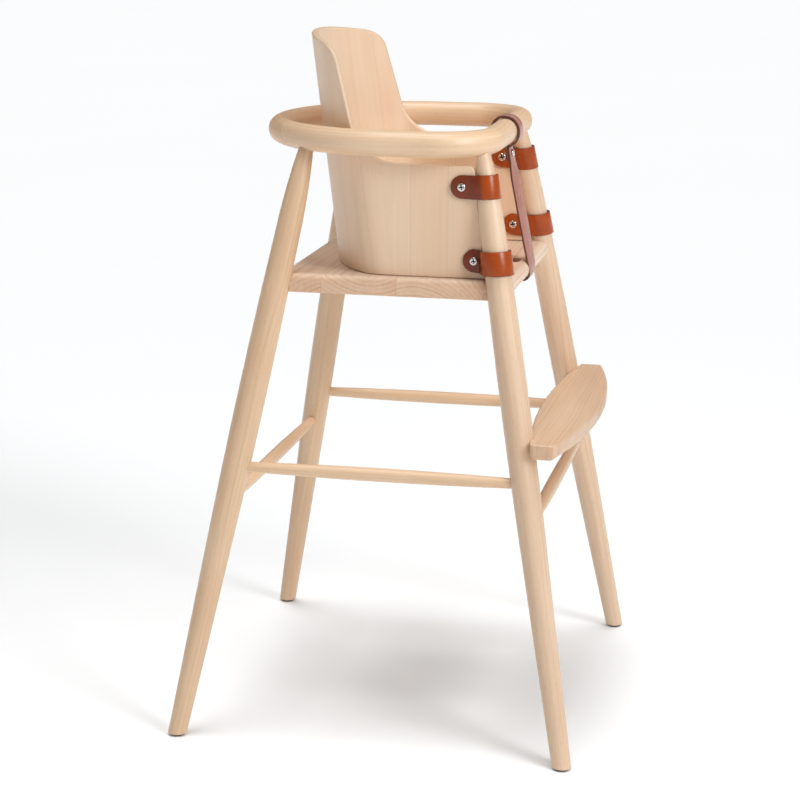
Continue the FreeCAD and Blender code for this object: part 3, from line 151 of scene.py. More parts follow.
def beech_group():
    """Beech with its grain along Z: growth rings, streaks, short flecks and soft clouds."""
    tree, given, result = new_group("beech", "ShaderNodeTree", [
        ("Place", "Vector", (0, 0, 0)),
        ("Seed", "Float", 0.0),
        ("Heart", "Vector", (0.05, 0.03, 0)),
        ("Ring Width", "Float", 0.004),
        ("Figure", "Float", 0.5),
        ("Pale", "Color", (0.8, 0.62, 0.45, 1)),
        ("Deep", "Color", (0.6, 0.38, 0.22, 1)),
    ], [("Colour", "Color"), ("Roughness", "Float"), ("Height", "Float")])
    another_plank = (3.7, 1.9, 5.3)
    drift = vectors(tree, "SCALE", another_plank)
    tree.links.new(given["Seed"], drift.node.inputs["Scale"])
    place = vectors(tree, "ADD", given["Place"], drift)

    # The rings lie round the tree's heart, which sways along the grain.
    heart_sway = (0.05, 0.05, 0.0)
    sway = put(tree, "ShaderNodeTexNoise", {"Vector": stretched(tree, place, 6.0, 1.4),
                                            "Scale": 1.0, "Detail": 2.0})
    swayed = vectors(tree, "MULTIPLY", vectors(tree, "SUBTRACT", sway.outputs["Color"], (0.5,) * 3),
                     heart_sway)
    from_heart = vectors(tree, "ADD", vectors(tree, "SUBTRACT", given["Place"], given["Heart"]), swayed)
    distance = vectors(tree, "LENGTH", vectors(tree, "MULTIPLY", from_heart, (1, 1, 0)))
    ring = maths(tree, "FRACT", maths(tree, "DIVIDE", distance, given["Ring Width"]))
    late = minus(tree, between(tree, ring, 0.35, 0.88), between(tree, ring, 0.88, 1.0))
    year_changes = 90.0
    years = put(tree, "ShaderNodeTexNoise", {"W": times(tree, distance, year_changes),
                                             "Scale": 1.0, "Detail": 1.0}, noise_dimensions="1D")
    figure = times(tree, late, between(tree, years.outputs["Fac"], 0.25, 0.75))
    figure = times(tree, figure, given["Figure"])

    # Blots a metre, first across the grain and then along it.
    streak = blots(tree, stretched(tree, place, 210.0, 5.0), 3.0, 0.6)
    fibre = blots(tree, stretched(tree, place, 1300.0, 34.0), 2.0, 0.6)
    cloud = blots(tree, stretched(tree, place, 16.0, 5.0), 2.0, 0.5)
    elsewhere = vectors(tree, "ADD", place, (9.1, 4.2, 2.3))
    blush = blots(tree, stretched(tree, elsewhere, 11.0, 3.0), 2.0)
    fleck = between(tree, blots(tree, stretched(tree, place, 900.0, 150.0), 0.0), 0.66, 0.76)

    # How deep the tone is, from 0 to 1, each kind of mark with its own share of it.
    depth = 0.30
    for mark, share in ((streak, 0.75), (cloud, 0.9), (fibre, 0.22)):
        depth = maths(tree, "MULTIPLY_ADD", minus(tree, mark, 0.5), share, depth)
    depth = maths(tree, "MULTIPLY_ADD", fleck, 0.16, depth)
    depth = plus(tree, depth, figure, use_clamp=True)
    colour = blend(tree, depth, given["Pale"], given["Deep"])
    rosy = (0.98, 0.84, 0.78, 1)
    colour = blend(tree, between(tree, blush, 0.42, 0.72), colour,
                   blend(tree, 0.5, colour, rosy, "MULTIPLY"))
    tree.links.new(colour, result["Colour"])
    tree.links.new(maths(tree, "MULTIPLY_ADD", depth, 0.14, 0.40), result["Roughness"])
    tree.links.new(minus(tree, fibre, times(tree, fleck, 0.5)), result["Height"])
    return tree


beech = beech_group()
pale_beech = (0.83, 0.61, 0.415, 1)
deep_beech = (0.63, 0.385, 0.205, 1)
pore_depth = 0.00004
lacquer_weight = 0.3
lacquer_roughness = 0.40


def new_material(name):
    material = bpy.data.materials.new(name)
    material.use_nodes = True
    tree = material.node_tree
    return material, tree, tree.nodes["Principled BSDF"]


def raise_grain(tree, surface, height, depth):
    """A bump of the given depth in metres."""
    bump = put(tree, "ShaderNodeBump", {"Height": height, "Strength": 1.0, "Distance": depth})
    tree.links.new(bump.outputs["Normal"], surface.inputs["Normal"])


def lay_beech(tree, surface, place, seed, **figure):
    """Gives a surface lacquered beech and returns the group node that colours it."""
    wood = put(tree, "ShaderNodeGroup", node_tree=beech)
    settings = {"Seed": seed, "Pale": pale_beech, "Deep": deep_beech}
    settings.update(figure)
    for key, value in settings.items():
        wood.inputs[key.replace("_", " ")].default_value = value
    tree.links.new(place, wood.inputs["Place"])
    tree.links.new(wood.outputs["Colour"], surface.inputs["Base Color"])
    tree.links.new(wood.outputs["Roughness"], surface.inputs["Roughness"])
    raise_grain(tree, surface, wood.outputs["Height"], pore_depth)
    surface.inputs["Coat Weight"].default_value = lacquer_weight
    surface.inputs["Coat Roughness"].default_value = lacquer_roughness
    return wood


def object_place(tree):
    return put(tree, "ShaderNodeTexCoord").outputs["Object"]


def own_place(tree, start, turn):
    """Object coordinates from start, with Z along the piece as turn gives it."""
    mapping = put(tree, "ShaderNodeMapping",
                  {"Vector": object_place(tree), "Location": start, "Rotation": turn},
                  vector_type="TEXTURE")
    return mapping.outputs["Vector"]


def beech_piece(node, start, end, seed, **figure):
    """Gives a straight wooden piece its own beech, with the grain from start to end."""
    material, tree, surface = new_material(node + "_beech")
    turn = (end - start).to_track_quat("Z", "Y").to_euler()
    lay_beech(tree, surface, own_place(tree, start, turn), seed, **figure)
    nodes[node].material_slots[0].material = material


def middle(node):
    low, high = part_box(node)
    return (low + high) / 2


def leg_axis(node):
    """From the middle of the leg's glide to the middle of its tenon's end."""
    places = np.array([vertex.co for vertex in nodes[node].data.vertices])
    tip_height = 0.003
    tenon_end = places[places[:, 2] > places[:, 2].max() - tip_height]
    head = Vector((tenon_end.min(0) + tenon_end.max(0)) / 2)
    return middle(node.replace("leg", "glide")), head


leg_hearts = {"leg_front_right": (0.055, 0.030, 0), "leg_front_left": (-0.040, 0.052, 0),
              "leg_rear_right": (0.034, -0.058, 0), "leg_rear_left": (-0.060, -0.025, 0)}
# Painted light and shade on one beech: the front legs' paler, greyer tones stand in for the lamps'
# sheen on them, and the rear legs' darker, warmer tones for the shade they stand in.
lit_front_tones = {"Pale": (0.81, 0.615, 0.445, 1), "Deep": (0.61, 0.39, 0.235, 1)}
shaded_rear_tones = {"Pale": (0.75, 0.545, 0.365, 1), "Deep": (0.57, 0.345, 0.185, 1)}
for seed, (leg, heart) in enumerate(leg_hearts.items(), start=1):
    tones = shaded_rear_tones if leg.startswith("leg_rear") else lit_front_tones
    beech_piece(leg, *leg_axis(leg), seed, Heart=heart, Ring_Width=0.0042, Figure=0.30, **tones)


# ---- stretchers --------------------------------------------------------------------
# Four thin rungs of beech, thicker in the middle. Each is turned with its grain along it
# and glued into two legs by its round ends.

for seed, rung in enumerate(("right", "left", "front", "rear"), start=11):
    stretcher = "stretcher_" + rung
    low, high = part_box(stretcher)
    run = Vector((0, 1, 0)) if rung in ("right", "left") else Vector((1, 0, 0))
    half = run * ((high - low).dot(run) / 2)
    beech_piece(stretcher, middle(stretcher) - half, middle(stretcher) + half, seed,
                Heart=(0.03, 0.04, 0), Ring_Width=0.0035, Figure=0.25)


# ---- arm rail ----------------------------------------------------------------------
# A steamed beech rod bent to a ring with a straight front. Two rods make it, a long one
# round the front and a short one round the back, scarfed together behind the rear legs.


def socket_of(tree, title):
    """The identifier of a tree's named input."""
    return next(item.identifier for item in tree.interface.items_tree
                if item.item_type == "SOCKET" and item.name == title)


def axes(tree, vector):
    return put(tree, "ShaderNodeSeparateXYZ", {0: vector}).outputs


def joined(tree, x=0.0, y=0.0, z=0.0):
    return put(tree, "ShaderNodeCombineXYZ", {0: x, 1: y, 2: z}).outputs[0]


round_sides = 64
edge_steps = 3
narrowest_tip = 0.06
thinnest_tip = 0.4
nothing = 1e-6


def known_line(tree, given):
    """The line as a curve whose points know their place, directions and way along."""
    line = put(tree, "GeometryNodeMeshToCurve", {"Mesh": given["Line"]})
    side = put(tree, "GeometryNodeInputNamedAttribute", {"Name": "side"}, data_type="FLOAT_VECTOR")
    parameter = put(tree, "GeometryNodeSplineParameter")
    length = put(tree, "GeometryNodeSplineLength")
    known = put(tree, "GeometryNodeCaptureAttribute", domain="POINT")
    kept = [("VECTOR", "centre", put(tree, "GeometryNodeInputPosition").outputs[0]),
            ("VECTOR", "side", side.outputs["Attribute"]),
            ("VECTOR", "way", put(tree, "GeometryNodeInputTangent").outputs[0]),
            ("FLOAT", "along", parameter.outputs["Length"]),
            ("FLOAT", "length", length.outputs["Length"])]
    tree.links.new(line.outputs[0], known.inputs["Geometry"])
    for kind, title, source in kept:
        known.capture_items.new(kind, title)
        tree.links.new(source, known.inputs[title])
    return known.outputs


def known_section(tree, given):
    """The section, round or flat with eased edges, whose points know their place on it."""
    circle = put(tree, "GeometryNodeCurvePrimitiveCircle",
                 {"Resolution": round_sides, "Radius": times(tree, given["Width"], 0.5)})
    flat = put(tree, "GeometryNodeCurvePrimitiveQuadrilateral",
               {"Width": given["Width"], "Height": given["Thickness"]})
    eased = put(tree, "GeometryNodeFilletCurve", {"Curve": flat.outputs[0], "Count": edge_steps,
                                                  "Radius": given["Edge Round"]}, mode="POLY")
    section = put(tree, "GeometryNodeSwitch", {"Switch": given["Round Section"],
                                               "False": eased.outputs[0], "True": circle.outputs[0]},
                  input_type="GEOMETRY")
    spot = put(tree, "GeometryNodeCaptureAttribute", domain="POINT")
    spot.capture_items.new("VECTOR", "spot")
    tree.links.new(section.outputs[0], spot.inputs["Geometry"])
    tree.links.new(put(tree, "GeometryNodeInputPosition").outputs[0], spot.inputs["spot"])
    return spot.outputs


def eased_ends(tree, given, across, through, to_end):
    """A point's place across and through the section, less near the line's ends: a flat
    section narrows to a round tail there, and thins over its last edge."""
    ease = maths(tree, "DIVIDE", plus(tree, to_end, nothing),
                 maths(tree, "MAXIMUM", given["Tail Round"], nothing), use_clamp=True)
    taper = minus(tree, 1.0, maths(tree, "POWER", minus(tree, 1.0, ease), 2.0))
    taper = maths(tree, "MAXIMUM", maths(tree, "SQRT", taper), narrowest_tip)
    rim_ease = maths(tree, "DIVIDE", to_end, given["Edge Round"], use_clamp=True)
    thinner = maths(tree, "MULTIPLY_ADD", maths(tree, "SQRT", rim_ease), 1 - thinnest_tip, thinnest_tip)
    thickness = put(tree, "GeometryNodeSwitch", {"Switch": given["Round Section"],
                                                 "False": thinner, "True": 1.0}, input_type="FLOAT")
    return (times(tree, across, taper), times(tree, through, thickness.outputs[0]))


def nearness_to_rim(tree, given, across, to_end):
    """0 in the middle of a flat strip and 1 at its edges and ends."""
    half_width = times(tree, given["Width"], 0.5)
    at_side = maths(tree, "DIVIDE", maths(tree, "ABSOLUTE", across), half_width)
    at_end = minus(tree, 1.0, maths(tree, "DIVIDE", to_end, half_width, use_clamp=True))
    return maths(tree, "MAXIMUM", at_side, at_end)


def stored(tree, geometry, name, kind, value):
    """The geometry with an attribute for its finish to read."""
    node = put(tree, "GeometryNodeStoreNamedAttribute",
               {"Geometry": geometry, "Name": name, "Value": value}, data_type=kind, domain="POINT")
    return node.outputs[0]


def swept_tree():
    """Sweeps a round or flat section along a line whose points know their side direction."""
    tree, given, result = new_group("section along a line", "GeometryNodeTree", [
        ("Line", "Geometry", None),
        ("Width", "Float", 0.03),
        ("Thickness", "Float", 0.03),
        ("Edge Round", "Float", 0.001),
        ("Tail Round", "Float", 0.0),
        ("Round Section", "Bool", False),
        ("Finish", "Material", None),
    ], [("Piece", "Geometry")])
    line = known_line(tree, given)
    section = known_section(tree, given)
    tube = put(tree, "GeometryNodeCurveToMesh",
               {"Curve": line["Geometry"], "Profile Curve": section["Geometry"], "Fill Caps": True})

    along = line["along"]
    to_end = maths(tree, "MINIMUM", along, minus(tree, line["length"], along))
    across, through = axes(tree, section["spot"])[:2]
    width_spot, flat_spot = eased_ends(tree, given, across, through, to_end)
    outward = vectors(tree, "NORMALIZE", vectors(tree, "CROSS_PRODUCT", line["way"], line["side"]))
    shifts = []
    for direction, amount in ((line["side"], width_spot), (outward, flat_spot)):
        shift = put(tree, "ShaderNodeVectorMath", {0: direction, "Scale": amount}, operation="SCALE")
        shifts.append(shift.outputs["Vector"])
    new_place = vectors(tree, "ADD", line["centre"], vectors(tree, "ADD", *shifts))
    moved = put(tree, "GeometryNodeSetPosition", {"Geometry": tube.outputs[0], "Position": new_place})

    own = joined(tree, width_spot, through, along)
    placed = stored(tree, moved.outputs[0], "place", "FLOAT_VECTOR", own)
    rimmed = stored(tree, placed, "rim", "FLOAT", nearness_to_rim(tree, given, across, to_end))
    smooth = put(tree, "GeometryNodeSetShadeSmooth", {"Geometry": rimmed})
    real = put(tree, "GeometryNodeRealizeInstances", {"Geometry": smooth.outputs[0]})
    finished = put(tree, "GeometryNodeSetMaterial", {"Geometry": real.outputs[0],
                                                     "Material": given["Finish"]})
    tree.links.new(finished.outputs[0], result[0])
    return tree


swept = swept_tree()


def sweep(name, lines, finish, **sizes):
    """A closed mesh swept along lines, each a list of (point, side direction)."""
    path = bpy.data.meshes.new(name + "_line")
    points, sides, rods, edges = [], [], [], []
    for number, line in enumerate(lines):
        first = len(points)
        points += [point for point, side in line]
        sides += [side for point, side in line]
        rods += [float(number)] * len(line)
        edges += [(first + step, first + step + 1) for step in range(len(line) - 1)]
    path.from_pydata(points, edges, [])
    path.attributes.new("side", "FLOAT_VECTOR", "POINT").data.foreach_set(
        "vector", [value for side in sides for value in side])
    path.attributes.new("rod", "FLOAT", "POINT").data.foreach_set("value", rods)
    carrier = bpy.data.objects.new(name + "_line", path)
    bpy.context.scene.collection.objects.link(carrier)
    modifier = carrier.modifiers.new("sweep", "NODES")
    modifier.node_group = swept
    for title, value in {**sizes, "Finish": finish}.items():
        modifier[socket_of(swept, title.replace("_", " "))] = value
    return made_plain(name, carrier)


sharp_edge = math.radians(50)


def made_plain(name, carrier):
    """The carrier's evaluated shape as a plain mesh of its own, facing outward."""
    graph = bpy.context.evaluated_depsgraph_get()
    mesh = bpy.data.meshes.new_from_object(carrier.evaluated_get(graph), depsgraph=graph,
                                           preserve_all_data_layers=True)
    bpy.data.objects.remove(carrier)
    shape = bmesh.new()
    shape.from_mesh(mesh)
    bmesh.ops.recalc_face_normals(shape, faces=shape.faces)
    shape.to_mesh(mesh)
    shape.free()
    mesh.name = name
    mesh.set_sharp_from_angle(angle=sharp_edge)
    piece = bpy.data.objects.new(name, mesh)
    bpy.context.scene.collection.objects.link(piece)
    return piece


rail_low, rail_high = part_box("arm_ring")
rail_radius = (rail_high.z - rail_low.z) / 2
rail_z = (rail_high.z + rail_low.z) / 2
rail_half = rail_high.x - rail_radius
rail_front = rail_low.y + rail_radius
rail_back_middle = rail_high.y - rail_radius - rail_half
rail_corner = 0.062
scarf_from_side = math.radians(50)
scarf_slope = 0.9
scarf_reach = 0.035
glue_reach = 0.012
arc_step = 0.003


def arc(centre, radius, start, end):
    """Points of an arc in plan, from one angle to another, both ends included."""
    count = max(2, math.ceil(abs(end - start) * radius / arc_step))
    turns = [start + (end - start) * number / count for number in range(count + 1)]
    return [Vector((centre[0] + radius * math.cos(turn), centre[1] + radius * math.sin(turn), rail_z))
            for turn in turns]


def rail_lines():
    """The long rod from the left scarf round the front to the right one, and the short rod."""
    left_scarf, right_scarf = scarf_from_side, math.pi - scarf_from_side
    back = (0, rail_back_middle)
    corner_y = rail_front + rail_corner
    corner_x = rail_half - rail_corner
    quarter = math.pi / 2
    long_rod = arc(back, rail_half, left_scarf, 0)
    long_rod += arc((corner_x, corner_y), rail_corner, 0, -quarter)
    long_rod += arc((-corner_x, corner_y), rail_corner, -quarter, -2 * quarter)
    long_rod += arc(back, rail_half, 2 * quarter, right_scarf)
    short_rod = arc(back, rail_half, right_scarf, left_scarf)
    return [[(point, Vector((0, 0, 1))) for point in rod] for rod in (long_rod, short_rod)]


def attribute(tree, name, kind="Fac"):
    return put(tree, "ShaderNodeAttribute", attribute_name=name).outputs[kind]


def rail_material():
    """Beech that follows the bend, a different piece in each rod, with a fine glue line."""
    short_rod_tint = (0.86, 0.76, 0.66, 1)
    glue_brown = (0.42, 0.25, 0.14, 1)
    across_plank, along_plank = 0.013, 3.1
    material, tree, surface = new_material("rail_beech")
    rod = attribute(tree, "rod")
    apart = joined(tree, x=times(tree, rod, across_plank), z=times(tree, rod, along_plank))
    place = vectors(tree, "ADD", attribute(tree, "place", "Vector"), apart)
    wood = lay_beech(tree, surface, place, 21, Heart=(0.045, 0.02, 0), Ring_Width=0.0045,
                     Figure=0.30).outputs["Colour"]
    tinted = blend(tree, 1.0, wood, short_rod_tint, "MULTIPLY")
    colour = blend(tree, times(tree, rod, 0.5), wood, tinted)
    line = between(tree, attribute(tree, "joint"), 0.94, 0.985)
    colour = blend(tree, times(tree, line, 0.45), colour, glue_brown)
    tree.links.new(colour, surface.inputs["Base Color"])
    return material


def scarf(piece):
    """Slants the rods' ends: what is above the middle goes further round."""
    mesh = piece.data
    joint = mesh.attributes.new("joint", "FLOAT", "POINT")
    pivot = Vector((0, rail_back_middle, rail_z))
    for number, vertex in enumerate(mesh.vertices):
        across = vertex.co - pivot
        turn = math.atan2(across.y, across.x)
        if turn < 0:
            continue
        for scarf_turn in (scarf_from_side, math.pi - scarf_from_side):
            away = abs(turn - scarf_turn) * rail_half
            if away < scarf_reach:
                lean = scarf_slope * across.z / rail_half * (1 - away / scarf_reach)
                side = 1 if scarf_turn < math.pi / 2 else -1
                spin = Matrix.Rotation(lean * side, 3, "Z")
                vertex.co = pivot + spin @ across
                joint.data[number].value = max(0.0, 1 - away / glue_reach)


rail = sweep("bent_arm_rail", rail_lines(), rail_material(), Width=2 * rail_radius,
             Thickness=2 * rail_radius, Round_Section=True)
scarf(rail)
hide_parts("arm_ring")
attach(rail, "root")


# ---- seat --------------------------------------------------------------------------
# A board of four beech staves glued edge to edge, grain from side to side, with every
# second stave turned over. The rings of each stave show as arcs on the side edges.

seat_low, seat_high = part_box("seat_board")
stave_joints = (-0.116, -0.014, 0.075)
heart_steps = (-0.030, 0.030, 0.066)
stave_width = 0.086
stave_heart_depth = 0.080
next_stave = 1.73
glue_half, glue_faded = 0.0002, 0.0006
end_from, end_full = 0.006, 0.0005


def seat_material():
    end_tint = (0.82, 0.69, 0.59, 1)
    glue_brown = (0.45, 0.28, 0.17, 1)
    material, tree, surface = new_material("seat_staves")
    x, y, z = axes(tree, object_place(tree))
    stave = 0.0
    shift = 0.0
    glue = 0.0
    for joint, step in zip(stave_joints, heart_steps):
        past = maths(tree, "GREATER_THAN", y, joint)
        stave = plus(tree, past, stave)
        shift = maths(tree, "MULTIPLY_ADD", past, step, shift)
        off = maths(tree, "ABSOLUTE", minus(tree, y, joint))
        glue = maths(tree, "MAXIMUM", between(tree, off, glue_faded, glue_half), glue)
    first_middle = stave_joints[0] - stave_width / 2
    from_middle = minus(tree, y, maths(tree, "MULTIPLY_ADD", stave, stave_width, first_middle))
    over = maths(tree, "MULTIPLY_ADD", maths(tree, "MODULO", stave, 2.0), 2.0, -1.0)
    depth = minus(tree, z, (seat_low.z + seat_high.z) / 2)
    own = joined(tree, plus(tree, from_middle, shift), times(tree, depth, over),
                 maths(tree, "MULTIPLY_ADD", stave, next_stave, x))
    # Painted light: the seat's pale tones are lighter than the other beech, lifting its top, which lies
    # in the shade of the shell and rail.
    wood = lay_beech(tree, surface, own, 31, Heart=(0.016, -stave_heart_depth, 0),
                     Ring_Width=0.0050, Figure=0.60, Pale=(0.93, 0.745, 0.58, 1),
                     Deep=(0.69, 0.47, 0.32, 1)).outputs["Colour"]
    # End grain is darker; the end tint also holds the end faces back from the painted lift of the pale
    # tones.
    end_face = between(tree, maths(tree, "ABSOLUTE", x), seat_high.x - end_from, seat_high.x - end_full)
    end_wood = blend(tree, 1.0, wood, end_tint, "MULTIPLY")
    colour = blend(tree, times(tree, end_face, 0.8), wood, end_wood)
    colour = blend(tree, times(tree, glue, 0.35), colour, glue_brown)
    tree.links.new(colour, surface.inputs["Base Color"])
    return material


nodes["seat_board"].material_slots[0].material = seat_material()


# ---- dowels ------------------------------------------------------------------------
# Plain beech dowels, glued and hidden: one from each leg into the seat's corner, and one
# from each front leg forward into the footrest.

dowels = [node for node in sorted(nodes) if "_dowel_" in node]
for seed, dowel in enumerate(dowels, start=41):
    centre = middle(dowel)
    run = Vector((0, 1, 0))
    if dowel.startswith("seat"):
        run = Vector((math.copysign(1, centre.x), math.copysign(1, centre.y), 0)).normalized()
    beech_piece(dowel, centre, centre + run, seed, Ring_Width=0.003)


# ---- moulded shell -----------------------------------------------------------------
# Seven leaves of beech veneer pressed round a form into one U with a tall back. The face
# leaves run upward and are joined side by side; the plies show on the trimmed edges.

shell_lean = math.radians(7)
shell_wall = 0.008
shell_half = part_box("seat_shell")[1].x
shell_corner = 0.046
shell_rear_radius = 0.180
shell_rear = 0.086
corner_x = shell_half - shell_corner
rear_middle = shell_rear - shell_rear_radius
corner_y = rear_middle + math.sqrt((shell_rear_radius - shell_corner) ** 2 - corner_x ** 2)
back_turn = math.atan2(corner_y - rear_middle, corner_x)
ply_count = 7
leaf_width = 0.044
leaf_from = 0.017
seam_share, seam_faded = 0.006, 0.022
trimmed_edge, trim_faded = 0.0005, 0.0009
shade_height, shade_faded = 0.0006, 0.0016
next_side, next_leaf, through_wall = 0.31, 0.83, 0.35


def chosen(tree, test, no, yes):
    return put(tree, "ShaderNodeMix", {0: test, 2: no, 3: yes}, data_type="FLOAT").outputs[0]


def turn_of_corner(tree, wide, deep):
    """The direction of a point of the shell's plan from the middle of its corner."""
    return maths(tree, "ARCTAN2", minus(tree, deep, corner_y), minus(tree, wide, corner_x))


def plan_masks(tree, wide, deep):
    """1 past the shell's straight side, and 1 on the long curve of its back."""
    bends = maths(tree, "GREATER_THAN", deep, corner_y)
    between_corners = times(tree, bends, maths(tree, "LESS_THAN", wide, corner_x))
    past_corner = maths(tree, "GREATER_THAN", turn_of_corner(tree, wide, deep), back_turn)
    return bends, maths(tree, "MAXIMUM", past_corner, between_corners)


def depth_under_face(tree, wide, deep):
    """How far under the shell's outer face a point lies."""
    bends, at_back = plan_masks(tree, wide, deep)
    from_corner = joined(tree, minus(tree, wide, corner_x), minus(tree, deep, corner_y))
    from_back = joined(tree, wide, minus(tree, deep, rear_middle))
    under_side = minus(tree, shell_half, wide)
    under_corner = minus(tree, shell_corner, vectors(tree, "LENGTH", from_corner))
    under_back = minus(tree, shell_rear_radius, vectors(tree, "LENGTH", from_back))
    return chosen(tree, bends, under_side, chosen(tree, at_back, under_corner, under_back))


def way_round(tree, wide, deep, rise):
    """The way round the shell, so that the veneer's grain stays upright on every face."""
    bends, at_back = plan_masks(tree, wide, deep)
    # The sides' leaves stand upright; towards the corners they come to lean with the back.
    upright = between(tree, deep, corner_y - 0.004, -0.020)
    lean = times(tree, upright, times(tree, rise, math.tan(shell_lean)))
    along_side = plus(tree, deep, lean)
    round_corner = maths(tree, "MULTIPLY_ADD", turn_of_corner(tree, wide, deep), shell_corner, corner_y)
    corner_end = corner_y + shell_corner * back_turn
    back_way = maths(tree, "ARCTAN2", minus(tree, deep, rear_middle), wide)
    round_back = maths(tree, "MULTIPLY_ADD", minus(tree, back_way, back_turn),
                       shell_rear_radius, corner_end)
    return chosen(tree, bends, along_side, chosen(tree, at_back, round_corner, round_back))


def shell_material():
    """Veneer leaves on the faces, plies on the trimmed edges and a line of painted shade at the foot.
    """
    warm_leaf = (0.77, 0.54, 0.37, 1)
    seam_brown = (0.52, 0.34, 0.21, 1)
    ply_brown = (0.50, 0.31, 0.18, 1)
    painted_foot_shade = (0.16, 0.055, 0.03, 1)
    material, tree, surface = new_material("shell_ply")
    x, y, z = axes(tree, object_place(tree))
    rise = minus(tree, z, seat_high.z)
    wide = maths(tree, "ABSOLUTE", x)
    # Sheared, not turned: the shell's plan stays the same from the seat to its top.
    deep = maths(tree, "MULTIPLY_ADD", rise, -math.tan(shell_lean), y)
    under = depth_under_face(tree, wide, deep)
    way = way_round(tree, wide, deep, rise)

    side = times(tree, maths(tree, "SIGN", x), next_side)
    leaves = maths(tree, "DIVIDE", minus(tree, way, leaf_from), leaf_width)
    leaf = maths(tree, "FLOOR", leaves)
    leaf_spot = maths(tree, "FRACT", leaves)
    own = joined(tree, plus(tree, way, side), times(tree, under, through_wall),
                 maths(tree, "MULTIPLY_ADD", leaf, next_leaf, rise))
    wood = lay_beech(tree, surface, own, 51, Heart=(0.0, 0.10, 0), Ring_Width=0.011, Figure=0.06,
                     Pale=(0.86, 0.65, 0.465, 1), Deep=(0.76, 0.53, 0.35, 1)).outputs["Colour"]
    edge_of_leaf = maths(tree, "MINIMUM", leaf_spot, minus(tree, 1.0, leaf_spot))
    seam = between(tree, edge_of_leaf, seam_faded, seam_share)
    tone = put(tree, "ShaderNodeTexWhiteNoise", {"W": plus(tree, leaf, side)},
               noise_dimensions="1D").outputs["Value"]
    colour = blend(tree, times(tree, tone, 0.16), wood, warm_leaf)
    colour = blend(tree, times(tree, seam, 0.20), colour, seam_brown)

    ply = times(tree, under, ply_count / shell_wall)
    cross_ply = maths(tree, "GREATER_THAN", maths(tree, "MODULO", ply, 2.0), 1.0)
    in_wall = times(tree, between(tree, under, trimmed_edge, trim_faded),
                    between(tree, under, shell_wall - trimmed_edge, shell_wall - trim_faded))
    edge_tone = chosen(tree, cross_ply, 0.04, 0.34)
    colour = blend(tree, times(tree, in_wall, edge_tone), colour, ply_brown)
    # Painted shade: a dark line along the foot, where the shell stands on the seat.
    painted_foot_shade_mask = between(tree, rise, shade_faded, shade_height)
    colour = blend(tree, times(tree, painted_foot_shade_mask, 0.8), colour, painted_foot_shade)
    tree.links.new(colour, surface.inputs["Base Color"])
    return material


nodes["seat_shell"].material_slots[0].material = shell_material()


# ---- footrest ----------------------------------------------------------------------
# A leaf-shaped beech board in front of the front legs, with its grain from end to end. It
# is let in round the two legs and dowelled to them.

rest_low, rest_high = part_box("footrest")
rest_half = Vector(((rest_high.x - rest_low.x) / 2, 0, 0))
# Painted shade: the footrest's tones are darker than the other beech, keeping its up-facing top from
# coming out brighter than the legs under the top lamp.
beech_piece("footrest", middle("footrest") - rest_half, middle("footrest") + rest_half, 61,
            Heart=(0.045, 0.012, 0), Ring_Width=0.0050, Figure=0.42,
            Pale=(0.72, 0.515, 0.355, 1), Deep=(0.55, 0.33, 0.185, 1))


# ---- leather straps on the front legs ----------------------------------------------
# Four tan straps of thick vegetable-tanned leather. Each lies on the shell outside, goes
# round the leg and comes back inside, with round tails and burnished cut edges.

creased_tint = (0.60, 0.50, 0.46, 1)
pore_and_crease_depth = 0.00002


def hide_group():
    """Smooth leather: pores, soft creases and clouds, darker burnished edges and painted shade along
    the first stretch of the line.
    """
    tree, given, result = new_group("hide", "ShaderNodeTree", [
        ("Place", "Vector", (0, 0, 0)),
        ("Rim", "Float", 0.0),
        ("Seed", "Float", 0.0),
        ("Grain", "Color", (0.45, 0.11, 0.04, 1)),
        ("Painted Shade Grain", "Color", (0.45, 0.11, 0.04, 1)),
        ("Cut Edge", "Color", (0.1, 0.03, 0.02, 1)),
        ("Painted Shade Until", "Float", 0.0),
    ], [("Colour", "Color"), ("Roughness", "Float"), ("Height", "Float")])
    drift = joined(tree, given["Seed"], given["Seed"], given["Seed"])
    place = vectors(tree, "ADD", given["Place"], drift)
    pores = put(tree, "ShaderNodeTexVoronoi", {"Vector": place, "Scale": 1500.0},
                feature="DISTANCE_TO_EDGE").outputs["Distance"]
    pores = between(tree, pores, 0.02, 0.25)
    clouds = blots(tree, stretched(tree, place, 60.0, 45.0), 3.0, 0.55)
    creases = blots(tree, stretched(tree, place, 420.0, 160.0), 3.0, 0.6)
    shade = maths(tree, "MULTIPLY_ADD", minus(tree, clouds, 0.5), 0.8, 0.35)
    shade = maths(tree, "MULTIPLY_ADD", minus(tree, creases, 0.5), 0.35, shade, use_clamp=True)
    # Painted shade: the hide is darker along the first stretch of the line, up to the given length; on
    # the tan straps that is the outer tail, in the gap between shell and leg.
    along = axes(tree, given["Place"])[2]
    past_painted_shade = between(tree, minus(tree, along, given["Painted Shade Until"]), -0.004, 0.003)
    grain = blend(tree, past_painted_shade, given["Painted Shade Grain"], given["Grain"])
    colour = blend(tree, shade, grain, blend(tree, 1.0, grain, creased_tint, "MULTIPLY"))
    burnish = between(tree, given["Rim"], 0.945, 0.99)
    colour = blend(tree, times(tree, burnish, 0.85), colour, given["Cut Edge"])
    tree.links.new(colour, result["Colour"])
    rough = maths(tree, "MULTIPLY_ADD", clouds, 0.14, 0.20)
    tree.links.new(maths(tree, "MULTIPLY_ADD", burnish, 0.12, rough), result["Roughness"])
    tree.links.new(maths(tree, "MULTIPLY_ADD", pores, 0.6, creases), result["Height"])
    return tree


hide = hide_group()


